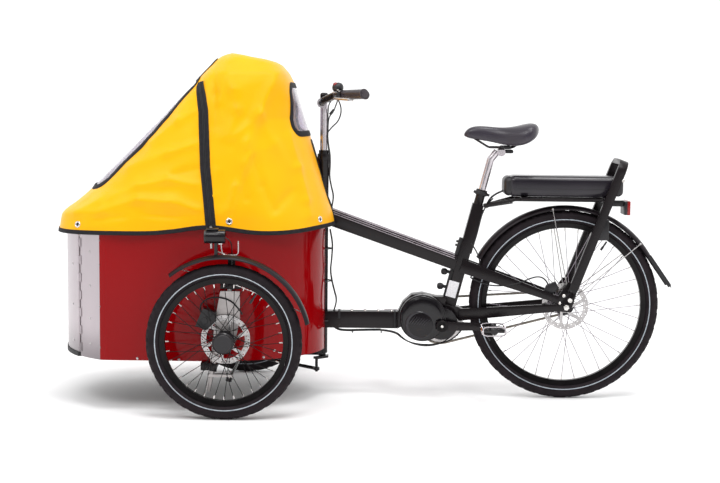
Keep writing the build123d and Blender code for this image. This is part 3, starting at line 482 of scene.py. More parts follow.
def mix(key, name, colour, rough, tones=None, gloss=None, relief=None, **inputs):
    """Adds a material: one shader with its drifting tones, drifting gloss and fine relief."""
    material = bpy.data.materials.new(name)
    material.use_nodes = True
    tree = material.node_tree
    tree.nodes.clear()
    named = {title.replace("_", " "): value for title, value in inputs.items()}
    shader = add_node(tree, "BsdfPrincipled",
                      {"Base Color": shade(colour), "Roughness": rough, **named})
    add_node(tree, "OutputMaterial", {"Surface": shader.outputs[0]})
    material.diffuse_color = shade(colour)
    for step, values in ((vary, tones), (roughen, gloss), (grain, relief)):
        if values:
            step(tree, shader, *values)
    FINISH[key] = material
    return tree, shader


def mix_hood_and_box(colours):
    # satin cloth, whose weave just shows, paler where it is stretched
    hue = tuple(colours.hood)
    tones = ((hue[0] * 0.97, hue[1] * 0.96, 0.0), (1.0, hue[1] * 1.04, 0.002), 0.22, 2.0)
    made = mix("cloth", "pvc_coated_polyester", hue, 0.38, tones, Specular_IOR_Level=0.17)
    # threads are 0.6 mm apart; drawn at 2.2 mm so that they show
    weave(*made, 0.0022, 0.00012)
    # deep high gloss on board, with an orange peel of 4 mm
    hue = tuple(colours.panel)
    lift = tuple(min(1.0, c * 1.12) for c in hue)
    mix("red", "gloss_lacquer", hue, 0.08, (hue, lift, 0.5, 2.0),
        (0.05, 0.1, 0.25) if colours.worn else None, (0.004, 0.00001), Specular_IOR_Level=0.16)
    # soft upright reflections with rolling marks of 0.5 mm, drawn at 1.5 mm; a dark reflection
    # painted low down
    made = mix("sheet", "rolled_aluminium", "#C4BABF", 0.3,
               ("#B4ABAF", "#BAB1B5", 0.12, 1.0, (1, 1, 0.2)), (0.28, 0.32, 0.006, (1, 1, 0.02)),
               (0.0015, 0.000003, (1, 1, 0.01)), Metallic=0.85)
    # painted dark reflection: the sheet's colour darkens toward its lower edge
    paint_low_reflection(*made, 0.16, 0.29, 0.5)


def mix_dark_finishes():
    plain = (1, 1, 1)
    # matt woven tape with ribs of 1.2 mm
    mix("tape", "polyester_webbing", "#131115", 0.72, ("#100E12", "#1B191D", 0.01), None,
        (0.0012, 0.0002, plain, CELLS), Specular_IOR_Level=0.3)
    # gloss black on steel and aluminium tube, with a powder texture of 1 mm
    mix("coat", "black_powder_coat", "#161114", 0.27, ("#141012", "#1C1719", 0.3),
        (0.22, 0.3, 0.3), (0.0012, 0.00003), Specular_IOR_Level=0.26)
    # dull rubber, slightly dusty on the tread
    mix("tyre", "tyre_rubber", "#1E181C", 0.6, ("#1A1518", "#231C20", 0.03), None,
        (0.0015, 0.0001), Specular_IOR_Level=0.14)
    # dark satin metal with fine turning marks
    mix("alloy", "black_anodised_aluminium", "#0D0B0C", 0.34, ("#0B090A", "#141112", 0.04), None,
        (0.002, 0.00003), Metallic=0.4, Specular_IOR_Level=0.3)
    # soft satin with leather cells of 1.4 mm
    mix("saddle", "polyurethane_cover", "#2E2932", 0.3, ("#2A252E", "#332E38", 0.1), None,
        (0.0014, 0.00012, plain, CELLS))
    # dark brown resin film with a wire pattern
    mix("board", "film_faced_plywood", "#3A2A20", 0.45, ("#33241B", "#463429", 0.08), None,
        (0.004, 0.0002, plain, CELLS))
    # moulded blacks that differ in gloss; spark-eroded grain of 0.7 mm, drawn at 1 mm
    for key, name, tone, lighter, rough, shine in (
            # satin, neutral black of small housings
            ("plastic", "black_polypropylene", "#131215", "#1D1B1F", 0.4, 0.5),
            # smooth housings with soft highlights
            ("shell", "black_abs", "#131013", "#191519", 0.22, 0.34),
            # battery case: dark grey with long clear highlights
            ("case", "satin_case_plastic", "#1D1A20", "#242027", 0.18, 0.45),
            # warm dark grey of the handled grips
            ("ribbed", "ribbed_grip_rubber", "#2D262B", "#393137", 0.38, 0.5),
            # near-black motor cover with a sharp highlight
            ("gloss", "gloss_cover_plastic", "#0F0C10", "#141115", 0.14, 0.42),
            # wheel guards: low sheen, so that their arch stays dark against the red
            ("guard", "guard_polycarbonate", "#191418", "#201A1E", 0.36, 0.18),
            # dull rubber of cables, flap and bumpers
            ("grip", "black_elastomer", "#121114", "#1B1A1D", 0.62, 0.5)):
        mix(key, name, tone, rough, (tone, lighter, 0.2), (rough - 0.04, rough + 0.04, 0.2),
            (0.001, 0.00004, plain, CELLS), Specular_IOR_Level=shine)


def mix_bright_finishes():
    plain = (1, 1, 1)
    # bare metals that differ in tone and polish, with faint long marks
    for key, name, tone, lighter, rough, size in (
            # discs, stays and rivets: mid grey, softly mirrored
            ("steel", "stainless_steel", "#A9A6A6", "#C4C1C1", 0.26, 0.02),
            # rear spokes, darker so that they don't vanish before the pale ground
            ("spoke", "drawn_spoke_steel", "#847D86", "#989099", 0.34, 0.03),
            # column, seat post and latch: bright with clear streaks
            ("silver", "polished_aluminium", "#C2BBC0", "#D6D0D4", 0.2, 0.04),
            # knuckle castings: pale and evenly matt
            ("satin", "shot_blasted_aluminium", "#B7B1B0", "#C6C1C0", 0.42, 0.03),
            # screws, nipples and eyelets: small warm sparkles
            ("nickel", "nickel_plate", "#D6D2CE", "#E6E3E0", 0.14, 0.01),
            # brownish grey with an oily sheen
            ("chain", "oiled_chain_steel", "#6E675F", "#8C857C", 0.32, 0.01),
            # top tube's ribs, coloured grey as a painted highlight along each ridge
            ("rail", "rib_painted_highlight", "#8E868C", "#A8A0A6", 0.3, 0.05)):
        mix(key, name, tone, rough, (tone, lighter, size), (rough * 0.8, rough * 1.3, size / 2),
            (size / 12, 0.00001), Metallic=0.8)
    # pale grey beaded band, bonded to the sidewall
    mix("band", "retroreflective_band", "#A9B2BA", 0.35, ("#9AA4AD", "#B9C1C8", 0.01), None,
        (0.0008, 0.00004, plain, CELLS), Metallic=0.25)
    # soft window film: clear, a little milky, with slow ripples
    mix("film", "soft_pvc_film", "#E6E0EA", 0.05, None, None, (0.08, 0.0012), IOR=1.12,
        Transmission_Weight=0.86, Specular_IOR_Level=0.6)
    # moulded lenses with small prisms inside
    for key, name, tone, rough, through in (("clear", "clear_acrylic", "#E8ECEF", 0.08, 0.85),
                                            ("ruby", "red_acrylic", "#B80E12", 0.12, 0.45),
                                            ("amber", "amber_acrylic", "#E07A10", 0.14, 0.4)):
        mix(key, name, tone, rough, None, None, (0.004, 0.0006, plain, CELLS), IOR=1.49,
            Transmission_Weight=through, Specular_IOR_Level=0.6)
    # blank white label, slightly uneven
    mix("label", "white_vinyl_label", "#E4E3E6", 0.4, ("#D5D4D8", "#EDECEF", 0.004), None,
        (0.002, 0.00001))
    # the studio's matt floor
    mix("paper", "white_paper", "#F6F6F7", 0.6, ("#F5F5F6", "#FAFAFA", 1.5),
        Specular_IOR_Level=0.1)


# ------------------------------------------------------------------ the hood's surface
HOOD_LEVELS = (  # height, front, rear, half width
    (560, -592, 338, 321), (577, -590, 337, 320), (645, -578, 330, 316), (666, -540, 322, 312),
    (712, -486, 307, 303), (905, -298, 249, 262), (1074, -136, 195, 222), (1106, -106, 178, 211),
    (1160, -56, 134, 146))
HEM = 577
EAVES = 1136.0            # where the sides turn into the roof
CREASES = (  # ends of each crease on the side, width and depth
    (150, 1108, 96, 968, 22, 9), (96, 968, 60, 880, 24, 6), (60, 880, 50, 800, 22, 4),
    (96, 968, 150, 880, 20, 4), (150, 880, 196, 800, 20, 3), (96, 968, 20, 900, 18, 4),
    (-12, 1120, 8, 1050, 18, 6), (8, 1050, 26, 985, 16, 5), (26, 985, -6, 900, 18, 4),
    (-60, 1108, -52, 1040, 14, -5), (-52, 1040, -50, 934, 16, -4), (-20, 1090, -36, 1010, 14, 4),
    (70, 842, 30, 740, 10, 5), (30, 740, 6, 664, 10, 5), (84, 836, 110, 742, 12, -4),
    (110, 742, 150, 664, 12, -3), (44, 800, 60, 700, 12, -4), (-36, 790, -43, 709, 12, 4),
    (-43, 709, -20, 650, 12, 4), (196, 905, 224, 800, 16, 6), (224, 800, 250, 690, 16, 6),
    (250, 690, 262, 640, 16, 4), (205, 720, 150, 660, 16, -4), (-92, 992, -168, 950, 18, 5),
    (-168, 950, -262, 880, 22, 5), (-96, 880, -200, 846, 16, 5), (-200, 846, -330, 796, 22, 5),
    (-98, 800, -180, 776, 14, -4), (-96, 742, -190, 760, 16, 5), (-190, 760, -290, 740, 20, 6),
    (-290, 740, -380, 700, 18, 4), (-92, 664, -180, 690, 16, 6), (-180, 690, -290, 694, 20, 6),
    (-290, 694, -400, 664, 18, 5), (-160, 640, -260, 648, 12, -4), (-420, 690, -500, 650, 16, 5),
    (-330, 640, -430, 628, 12, -3), (-540, 645, -400, 655, 12, 3))
CREASE_DEPTH = 1.6
ZIP = ((-50, 590), (-62, 700), (-74, 800), (-80, 900), (-85, 980), (-94, 1030), (-103, 1068),
       (-104, 1082))      # place of the side zip at each height
WINDOWS = {  # way it faces: width as a share of the hood's, foot, head, corner radius
    -1: (0.68, 724, 1084, 34), 1: (0.62, 908, 1070, 36)}
SLIT_X, SLIT_Y, SLIT_TOP = 230, 26, 880     # opening in the rear for the column and the cables


def zip_x(z):
    for (x1, z1), (x2, z2) in zip(ZIP, ZIP[1:]):
        if z <= z2:
            break
    return x1 + (x2 - x1) * unit((z - z1) / (z2 - z1))


def level(z):
    """Front, rear and half width of the hood at a height, with the corners eased."""
    total = [0.0, 0.0, 0.0]
    reach = 14 - 9 * unit((z - 1040) / 40)
    for shift in (-reach, -reach / 2, 0, reach / 2, reach):
        h = min(max(z + shift, HOOD_LEVELS[0][0]), HOOD_LEVELS[-1][0])
        for low, high in zip(HOOD_LEVELS, HOOD_LEVELS[1:]):
            if h <= high[0]:
                break
        share = (h - low[0]) / (high[0] - low[0])
        for k in range(3):
            total[k] += (low[k + 1] + (high[k + 1] - low[k + 1]) * share) / 5
    return total


def plan(z, x):
    """The hood's plan at a height, on x's side of its widest place.

    Gives the place where it is widest, the reach from there, the roundness and the half width.
    """
    front, rear, half = level(z)
    share = unit((z - 690) / 170)
    centre = min(-190.0, (front + rear) / 2) * (1 - share) + (front + rear) / 2 * share
    if x <= centre:
        return centre, centre - front, 3.8 - 0.8 * unit((z - 650) / 80), half
    # squarer in plan near the roof, where the bows hold it
    return centre, rear - centre, 2.5 + 1.7 * unit((z - 960) / 150), half


def hem_rise(x):
    """How far the hem is lifted over the lamps and at the back."""
    return 22 * bell((x + 60) / 120) + 17 * bell((x - 340) / 110) + 5


def off_crease(x, z, line):
    """Distance from a crease."""
    x1, z1, x2, z2 = line[:4]
    dx, dz = x2 - x1, z2 - z1
    along = unit(((x - x1) * dx + (z - z1) * dz) / (dx * dx + dz * dz))
    return sqrt((x - x1 - along * dx) ** 2 + (z - z1 - along * dz) ** 2)


def slack(x, y, z):
    """How far the cloth stands off its drawn shape, in millimetres."""
    beside = min(1.0, abs(y) / (0.55 * level(z)[2])) ** 3
    rise = 0.0
    for line in CREASES:
        # a crease is a soft ridge with a narrow crest
        reach = off_crease(x, z, line) / (0.95 * line[4])
        rise += line[5] * (0.55 * bell(reach) + 0.45 * exp(-2.2 * sqrt(reach * reach + 0.02)))
    # the zip's stiff tape holds the cloth flat beside it
    beside *= 1 - 0.9 * bell((x - zip_x(z)) / 26)
    # and the roof's rear corner pulls its own folds flat
    beside *= 1 - 0.75 * unit((z - 1060) / 60)
    rise *= CREASE_DEPTH * beside * bpy.context.scene.tricycle_sizes.crease_depth
    soft = noise.noise(Vector((x / 130, y / 130, z / 150)) + Vector((3, 5, 1)))
    fine = noise.noise(Vector((x / 48, y / 60, z / 70)))
    low = min(max((z - 600) / 80, 0.15), 1.0)
    wave = 4.0 * sin(x / 46 + y / 90) * bell((z - 600) / 55)
    belly = -6.0 * beside * bell((z - 850) / 170)
    return rise + (3.6 * soft + 1.8 * fine) * low * (0.35 + 0.65 * beside) + wave + belly


def stand_off(x, y, z, extra=0.0):
    """Point of the cloth in metres, pushed out from the drawn shape, and its outward way."""
    centre, reach, power, half = plan(z, x)
    u, v = (x - centre) / reach, y / half
    way = Vector((copysign(abs(u) ** (power - 1), u) / reach,
                  copysign(abs(v) ** (power - 1), v) / half, 0)).normalized()
    way = (way + Vector((0, 0, 0.34 if z > 700 else 0.2))).normalized()
    return at(x, y, z) + way * (slack(x, y, z) + extra) * MM, way


def side_y(x, z):
    """Half breadth of the hood at this place along it."""
    centre, reach, power, half = plan(z, x)
    return half * (1 - min(abs(x - centre) / reach, 1.0) ** power) ** (1 / power)


def end_x(y, z, way):
    """Front (-1) or rear (1) of the hood at this place across it."""
    centre, reach, power, half = plan(z, way * inf)
    return centre + way * reach * (1 - min(abs(y) / half, 1.0) ** power) ** (1 / power)


def ring_point(z, a):
    """Drawn place on the hood at a height, at a turn around it."""
    c, s = cos(a), sin(a)
    centre, reach, power, half = plan(z, inf if c > 0 else -inf)
    return (centre + reach * copysign(abs(c) ** (2 / power), c),
            half * copysign(abs(s) ** (2 / power), s))


def roof_height(x):
    """The roof's ridge: level at the front, falling to the rear."""
    return 1176 - 0.19 * max(x + 9, 0.0)


def roof_point(x, y, z):
    """Point of the roof's cloth in metres, with the side's folds running out over its edge."""
    push = slack(x, y, EAVES) * min(1.0, abs(y) / 150)
    ripple = 2.2 * noise.noise(Vector((x / 60, y / 60, 7)))
    return at(x, y, z + ripple) + Vector((x - 40, y, 0)).normalized() * 0.5 * push * MM


def window_margin(y, z, way):
    """Distance inside a window's outline; negative outside."""
    width, low, high, corner = WINDOWS[way]
    across, up = width * level(z)[2] - abs(y), min(z - low, high - z)
    if across < corner and up < corner:
        return corner - sqrt((corner - across) ** 2 + (corner - up) ** 2)
    return min(across, up)


def window_outline(way, steps=150):
    """Points round a window, on the cloth, with their outward ways."""
    outline = []
    middle_z = sum(WINDOWS[way][1:3]) / 2
    for k in range(steps):
        a = FULL * k / steps
        inner, outer = 0.0, 400.0
        for _ in range(24):
            trial = (inner + outer) / 2
            if window_margin(trial * cos(a), middle_z + trial * sin(a), way) > 0:
                inner = trial
            else:
                outer = trial
        y, z = inner * cos(a), middle_z + inner * sin(a)
        outline.append(stand_off(end_x(y, z, way), y, z, 0.8))
    return outline


def hood_grid():
    """Rows of drawn places from the hem to the middle of the roof, and how many are sides."""
    around, steps = ((250, 76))
    rows = []
    for step in range(steps + 1):
        z = HEM + (EAVES - HEM) * step / steps
        row = []
        for k in range(around):
            x, y = ring_point(z, FULL * (k + 0.5) / around)
            row.append((x, y, z + hem_rise(x) * max(0.0, 1 - (z - HEM) / 70)))
        rows.append(row)
    edge = rows[-1]
    centre = plan(EAVES, 0)[0]
    for k in range(1, 26):
        share = 1 - (k / 26) ** 1.25
        row = []
        for x, y, z in edge:
            px, py = centre + (x - centre) * share, y * share
            # the rear edge of the roof is tight over its bow, the front one eases forward
            dome = 1 - share ** (3.8 + 6.0 * unit((px + 20) / 110))
            row.append((px, py, EAVES + (roof_height(px) - EAVES) * dome))
        rows.append(row)
    return rows, around, steps + 1


class TRICYCLE_OT_hood(bpy.types.Operator):
    """Hood of coated cloth with its windows, bindings, zips, eyelets and roof straps"""
    bl_idname = "tricycle.hood"
    bl_label = "Hood"

    def execute(self, context):
        sizes = context.scene.tricycle_sizes
        rows, around, side_rows = hood_grid()
        drawn = [place for row in rows for place in row]
        edge = rows[side_rows - 1]
        points = []
        for r, row in enumerate(rows):
            for k, (x, y, z) in enumerate(row):
                if r < side_rows:
                    points.append(stand_off(x, y, min(z, EAVES))[0])
                    continue
                # the roof takes over from the sides by degrees
                fade = min(1.0, (r - side_rows + 1) / 6)
                offset = stand_off(*edge[k])[0] - at(*edge[k])
                points.append(roof_point(x, y, z) * fade + (at(x, y, z) + offset) * (1 - fade))
        cloth, films = [], {-1: [], 1: []}
        for r in range(len(rows) - 1):
            for k in range(around):
                m = (k + 1) % around
                face = (r * around + k, r * around + m, (r + 1) * around + m, (r + 1) * around + k)
                x, y, z = (sum(drawn[i][axis] for i in face) / 4 for axis in range(3))
                way = 1 if x > plan(min(z, EAVES), 0)[0] else -1
                side = r < side_rows - 1
                if side and window_margin(y, z, way) > 0:
                    films[way].append(face)
                elif not side or not (x > SLIT_X and abs(y) < SLIT_Y and z < SLIT_TOP):
                    cloth.append(face)
        last, top = (len(rows) - 1) * around, len(points)
        points.append(sum(points[last:], Vector()) / around)
        cloth.extend((last + k, last + (k + 1) % around, top) for k in range(around))
        hood = self.skin(points, cloth, around, sizes.hood_thickness)
        finish("hood_cloth", "frame", [dress(hood, "cloth")], ("hood",), 60)
        panes = clad("film", *(self.skin(points, film, around, 0.0008)
                               for film in films.values()))
        finish("hood_window_film", "frame", [panes], ("hood_windows",), 60)
        self.shape = BVHTree.FromPolygons(points, cloth + films[-1] + films[1])
        edging = self.bindings(sizes.binding / MM)
        zips = self.zips()
        eyelets = self.eyelets()
        return {"FINISHED"}

    def skin(self, points, faces, around, thick):
        """Sheet of these faces, with the cloth's own UV map, thickened inwards."""
        used = sorted({i for face in faces for i in face})
        index = {old: new for new, old in enumerate(used)}
        made = from_faces("skin", [points[i] for i in used],
                          [tuple(index[i] for i in face) for face in faces])
        layer = made.data.uv_layers.new(name="cloth")
        for polygon, face in zip(made.data.polygons, faces):
            wraps = max(i % around for i in face) - min(i % around for i in face) > around / 2
            for loop, old in zip(polygon.loop_indices, face):
                step = old % around
                if wraps and step < around / 2:
                    step += around
                # the cloth is about 2.2 m round
                layer.data[loop].uv = (step / around * 2.2, points[old].z)
        return modify(made, "SOLIDIFY", thickness=thick, offset=-1)

    def settled(self, line, gap):
        """Places and ways of a line, on the cloth that is already there."""
        places, ways = [], []
        for place, guess in line:
            near, way, _, _ = self.shape.find_nearest(place)
            if way.dot(guess) < 0:
                way = -way
            places.append(near + way * gap * MM)
            ways.append((way + guess).normalized())
        return places, ways

    def lay(self, line, width, thick, closed=False):
        """Tape along a line."""
        return tape(*self.settled(line, 0.4), width, thick, closed)

    def bindings(self, width):
        pieces = [self.lay(window_outline(way), width * share, 3.6, True)
                  for way, share in ((-1, 1.9), (1, 1.4))]
        hem = []
        for k in range(240):
            x, y = ring_point(HEM, FULL * (k + 0.5) / 240)
            if x <= SLIT_X or abs(y) >= SLIT_Y + 1:
                place, way = stand_off(x, y, HEM + hem_rise(x), -0.4)
                hem.append((place + Z * 4 * MM, way))
        pieces.append(self.lay(hem, width, 3.6))
        lines = [[stand_off(end_x(SLIT_Y, z, 1), side * SLIT_Y, z, 0.6)
                  for z in range(592, 884, 12)] for side in BOTH]
        lines.append([stand_off(end_x(y, SLIT_TOP, 1), y, SLIT_TOP, 0.9)
                      for y in range(-28, 29, 8)])
        pieces.extend(self.lay(line, width, 3) for line in lines)
        strap = [(end_x(0, z, -1), z) for z in (1080, 1092, 1104)]
        strap += [(-92, 1121), (-80, 1134), (-68, 1146), (-56, 1154)]
        for y in (-72, 72):
            line = [(at(x - 4, y, z + 4), Vector((-0.7, 0, 0.7))) for x, z in strap]
            pieces.append(self.lay(line, 40, 4.5))
        return finish("hood_bindings", "frame", [clad("tape", *pieces)], smooth=50)

    def zips(self):
        """One zip a side: wide tape, two lines of coil teeth and a slider at the hem."""
        tapes, teeth, sliders = [], [], []
        for side in BOTH:
            line = []
            for (x1, z1), (x2, z2) in zip(ZIP, ZIP[1:]):
                steps = ceil((z2 - z1) / 9)
                for share in (k / steps for k in range(steps)):
                    x, z = x1 + (x2 - x1) * share, z1 + (z2 - z1) * share
                    x = max(x, end_x(0.8 * level(z)[2], z, -1))
                    line.append(stand_off(x, side * side_y(x, z), z))
            places, ways = self.settled(line, 1.8)
            tapes.append(tape(places, ways, 33, 2.2))
            # the coil, and a stitched edge on each side of it
            for offset, lift, radius, sides in ((2.2, 1.2, 1.3, 2), (12.5, 1.1, 0.6, 1)):
                for turn in BOTH:
                    moved = []
                    for i, (p, n) in enumerate(zip(places, ways)):
                        run = places[min(i + 1, len(places) - 1)] - places[max(i - 1, 0)]
                        across = run.cross(n).normalized()
                        moved.append(p + (across * turn * offset + n * lift) * MM)
                    teeth.append(hose(moved, radius, sides))
            foot, way = places[2], ways[2] * MM
            sliders.append(rod(foot + way * 3, foot + way * 6.5, 5, 12))
            sliders.append(rod(foot + way * 6, foot + way * 6 - Z * 26 * MM, 2.2, 10))
        return finish("hood_zips", "frame", [clad("tape", *tapes), clad("grip", *teeth),
                                             clad("steel", *sliders)], smooth=50)

    def eyelets(self):
        """Pressed nickel eyelets near the hem, each with a black disc as the painted shade of its
        hole.
        """
        rings, hole_shades = [], []
        for x in (-492, 6, 296):
            for side in BOTH:
                z = HEM + hem_rise(x) + 29
                place, way = stand_off(x, side * side_y(x, z), z, 0.4)
                bpy.ops.mesh.primitive_torus_add(
                    major_radius=0.0082, minor_radius=0.003, major_segments=28, minor_segments=10,
                    location=place, rotation=way.to_track_quat("Z", "Y").to_euler())
                rings.append(settle(bpy.context.object))
                # black disc: painted shade in the eyelet's hole
                hole_shades.append(rod(place - way * 0.6 * MM, place + way * 0.8 * MM, 6.2))
        return finish("hood_eyelets", "frame", [clad("nickel", *rings), clad("grip", *hole_shades)],
                      smooth=50)


# ------------------------------------------------------------------ tyres, wheels and brakes
TYRE_W = 0.047
BEAD = 0.0125             # half width of the tyre where it sits on the rim
SPOKES = 36


def from_axle(place, centre):
    """Distance of a place from a wheel's axle."""
    return hypot(place.x - centre.x, place.z - centre.z)


class TRICYCLE_OT_tyres(bpy.types.Operator):
    """Three tyres with blocked shoulders and a reflective band on each sidewall"""
    bl_idname = "tricycle.tyres"
    bl_label = "Tyres"

    def execute(self, context):
        sizes = context.scene.tricycle_sizes
        wheels = [(side, FRONT[side], f"front_tyre_{side}", 1.0) for side, _ in SIDES]
        for name, centre, node, grow in wheels + [("rear", REAR, "rear_tyre", 653 / 500)]:
            low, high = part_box(node)
            radius = (high.z - low.z) / 2
            steps = 4 * round(sizes.tyre_steps * grow / 4)
            made = self.tyre(centre, radius, sizes.tread, steps)
            finish(f"tyre_{name}", f"wheel_{name}", [made], (node,), 28)
        return {"FINISHED"}

    def tyre(self, centre, radius, tread, steps):
        tube = TYRE_W / 2
        section, bead = [], radius - TYRE_W + 0.0033
        for y, x in circle(tube - tread, 44):
            out = radius - tube - x
            if out < bead:
                # the wall turns in to its bead, which sits on the rim
                out, y = bead, max(-BEAD, min(BEAD, y))
            section.append(centre + Vector((out, y, 0)))
        made = swept(section, centre, Y, steps, weld=0.04)
        bpy.ops.object.mode_set(mode="EDIT")
        bpy.ops.mesh.select_mode(type="FACE")
        bpy.ops.mesh.select_all(action="DESELECT")
        shape = bmesh.from_edit_mesh(made.data)
        for face in shape.faces:
            place = face.calc_center_median() - centre
            across = abs(place.y)
            if hypot(place.x, place.z) < radius - 0.0095 or 0.0055 < across <= 0.0105:
                continue
            # shoulder blocks in pairs, and a crown of small blocks between two grooves
            turn = int((atan2(place.z, place.x) + pi) / FULL * steps)
            face.select = turn % 2 == (place.y <= 0) if across > 0.0105 else turn % 4 != 0
        bmesh.update_edit_mesh(made.data)
        bpy.ops.mesh.inset(thickness=0.0008, depth=tread, use_individual=True,
                           use_even_offset=False)
        bpy.ops.object.mode_set(mode="OBJECT")
        dress(made, "tyre", "band")
        for face in made.data.polygons:
            stripe = abs(from_axle(face.center, centre) - radius + 0.0318) < 0.0018
            face.material_index = int(stripe and abs(face.normal.y) > 0.5)
        return made


class TRICYCLE_OT_wheels(bpy.types.Operator):
    """Finishes of rims, spokes and hubs, with nipples, valves and hub caps"""
    bl_idname = "tricycle.wheels"
    bl_label = "Wheels"

    def execute(self, context):
        for side, sign in SIDES:
            self.wheel(side, f"front_wheel_{side}", FRONT[side], "alloy", 0.1861)
            centre = FRONT[side].copy()
            centre.y = sign * 0.4335
            # round cap with a shallow ring
            cap = spun([(0, 0), (34.5, 0), (34.5, 1.6), (31.5, 4.5), (24.5, 5.2), (23.8, 3.8),
                        (21.2, 3.8), (20.5, 5.4), (12, 6.2), (0, 6.4)], centre, Y * sign, 56)
            finish(f"hub_cap_{side}", f"wheel_{side}", [dress(cap, "shell")])
        self.wheel("rear", "rear_wheel", REAR, "spoke", 0.2626)
        return {"FINISHED"}

    def wheel(self, side, node, centre, spoke_finish, rim_r):
        """Rim, spokes and hub, with nickel nipples at the rim and the valve."""
        def part(place):
            out = from_axle(place, centre)
            return 0 if out > rim_r - 0.001 else 1 if out > 0.0345 else 2

        paint(NODES[node], ("alloy", spoke_finish, "plastic"), part)
        heads = []
        for k in range(SPOKES):
            angle = FULL * k / SPOKES
            head = centre + polar(angle, rim_r + 0.001)
            heads.append(rod(head - polar(angle, 0.011), head, 1.7, 8, 2.2))
        angle = FULL * 0.5 / SPOKES + 0.9
        valve = [rod(centre + polar(angle, rim_r - foot), centre + polar(angle, rim_r - tip),
                     radius, 12) for foot, tip, radius in ((0.03, 0, 3.2), (0.036, 0.022, 4.2))]
        finish(f"nipples_{side}", f"wheel_{side}", [clad("nickel", *heads),
                                                    clad("plastic", *valve)])


class TRICYCLE_OT_brakes(bpy.types.Operator):
    """Drilled disc rotors, and the covers and hoses of the front calipers"""
    bl_idname = "tricycle.brakes"
    bl_label = "Brakes"

    def execute(self, context):
        for side, sign in SIDES:
            self.rotor(side, f"front_disc_{side}", 0.023)
            self.caliper(side, sign)
        self.rotor("rear", "rear_disc", 0.022)
        return {"FINISHED"}

    def rotor(self, side, node, carrier):
        """Drilled ring on six slanted arms, cut from one flat sheet."""
        low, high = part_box(node)
        centre = (low + high) / 2
        outer, rim = (high.z - low.z) / 2, []
        for x, y in circle(1, 144):
            # twelve shallow scallops
            radius = outer - 0.0006 * (1 + cos(12 * atan2(y, x)))
            rim.append((radius * x, radius * y))
        cuts = [rim, circle(0.0115, 32)]
        for k in range(6):
            start = FULL * k / 6
            near = [(carrier, start + 0.18 + 0.6 * j / 6) for j in range(7)]
            far = [(0.0625, start + 0.42 + 0.86 * (6 - j) / 6) for j in range(7)]
            cuts.append([(r * cos(a), r * sin(a)) for r, a in near + far])
        for k in range(36):
            x, y = circle(0.0675 if k % 2 else 0.0745, 36)[k]
            cuts.append(circle(0.0021, 8, x, y))
        made = cut_sheet(high.y - low.y, centre, cuts)
        side_way = Y * (-1 if centre.y > 0 else 1)
        bolts = [bolt(centre + polar(FULL * (k + 0.5) / 6, 0.017) + side_way * 0.7 * MM,
                      side_way, 2.6, 1.6) for k in range(6)]
        finish(f"rotor_{side}", f"wheel_{side}", [dress(made, "steel"), clad("alloy", *bolts)],
               (node,), 30)

    def caliper(self, side, sign):
        """Covers and hose of a front caliper."""
        caps = []
        for dx, dz, r in ((-66, 62, 11), (-50, 84, 9)):
            place = FRONT[side] + Vector((dx, 0, dz)) * MM
            place.y = sign * 0.3665
            caps.append(spun([(0, 0), (r, 0), (r, 3), (r - 1.5, 4.5), (0, 4.5)], place, Y * sign,
                             28))
        y = sign * 350
        line = hose([(-76, y, 326), (-84, y, 348), (-76, y, 372), (-40, y * 0.995, 388),
                     (10, y * 0.99, 380), (40, y * 0.985, 352), (52, y * 0.97, 330)], 2.6)
        finish(f"caliper_hose_{side}", f"knuckle_{side}", [clad("plastic", *caps),
                                                           dress(line, "grip")])


# ------------------------------------------------------------------ saddle
SADDLE = (  # share of the length, share of the half width, top and underside in millimetres
    (0.0, 0.05, 22, 14), (0.03, 0.19, 34, 9), (0.09, 0.255, 45, 4), (0.2, 0.28, 49, -3),
    (0.34, 0.32, 47, -9), (0.48, 0.42, 45, -18), (0.6, 0.62, 46, -25), (0.72, 0.85, 51, -25),
    (0.82, 0.985, 58, -18), (0.9, 0.95, 61, -5), (0.96, 0.76, 59, 9), (1.0, 0.3, 47, 27))


class TRICYCLE_OT_saddle(bpy.types.Operator):
    """Padded saddle, with a channel along its tail and a hollow underside"""
    bl_idname = "tricycle.saddle"
    bl_label = "Saddle"

    def section(self, share, wide, top, under, half, around):
        """Outline across the saddle: places across and up, in metres."""
        places, mid = [], under * 0.62 + top * 0.38
        for c, s in circle(1, around):
            y = half * wide * copysign(abs(c) ** 0.72, c)
            if s > 0:
                z = mid + (top - mid) * abs(s) ** 0.8
                # shallow channel along the middle of the tail
                z -= 3.0 * bell(y / 0.012) * unit((share - 0.3) / 0.3)
            else:
                # the skirt hangs at the sides; the middle stays over the rails
                z = mid + (under - mid) * abs(s) ** 0.55
                z += max(0.0, 1 - under) * bell((y / (half * wide * 0.62)) ** 2) * abs(s)
            places.append((y, z * MM + 0.0015))
        return places

    def execute(self, context):
        low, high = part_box("saddle")
        around, points, faces = 28, [], []
        for station in SADDLE:
            x = low.x + (high.x - low.x) * station[0]
            points.extend(Vector((x, y, low.z + z)) for y, z in
                          self.section(*station, (high.y - low.y) / 2, around))
        for r in range(len(SADDLE) - 1):
            for k in range(around):
                m = (k + 1) % around
                faces.append((r * around + k, (r + 1) * around + k, (r + 1) * around + m,
                              r * around + m))
        for r in (0, len(SADDLE) - 1):
            end = len(points)
            points.append(sum(points[r * around:(r + 1) * around], Vector()) / around)
            for k in range(around):
                pair = (r * around + k, r * around + (k + 1) % around)
                faces.append((*(reversed(pair) if r else pair), end))
        pad = modify(edit(from_faces("saddle_pad", points, faces), OUTWARD), "SUBSURF",
                     levels=2, render_levels=2)
        finish("saddle_pad", "frame", [dress(pad, "saddle")], ("saddle",), 60)
        return {"FINISHED"}


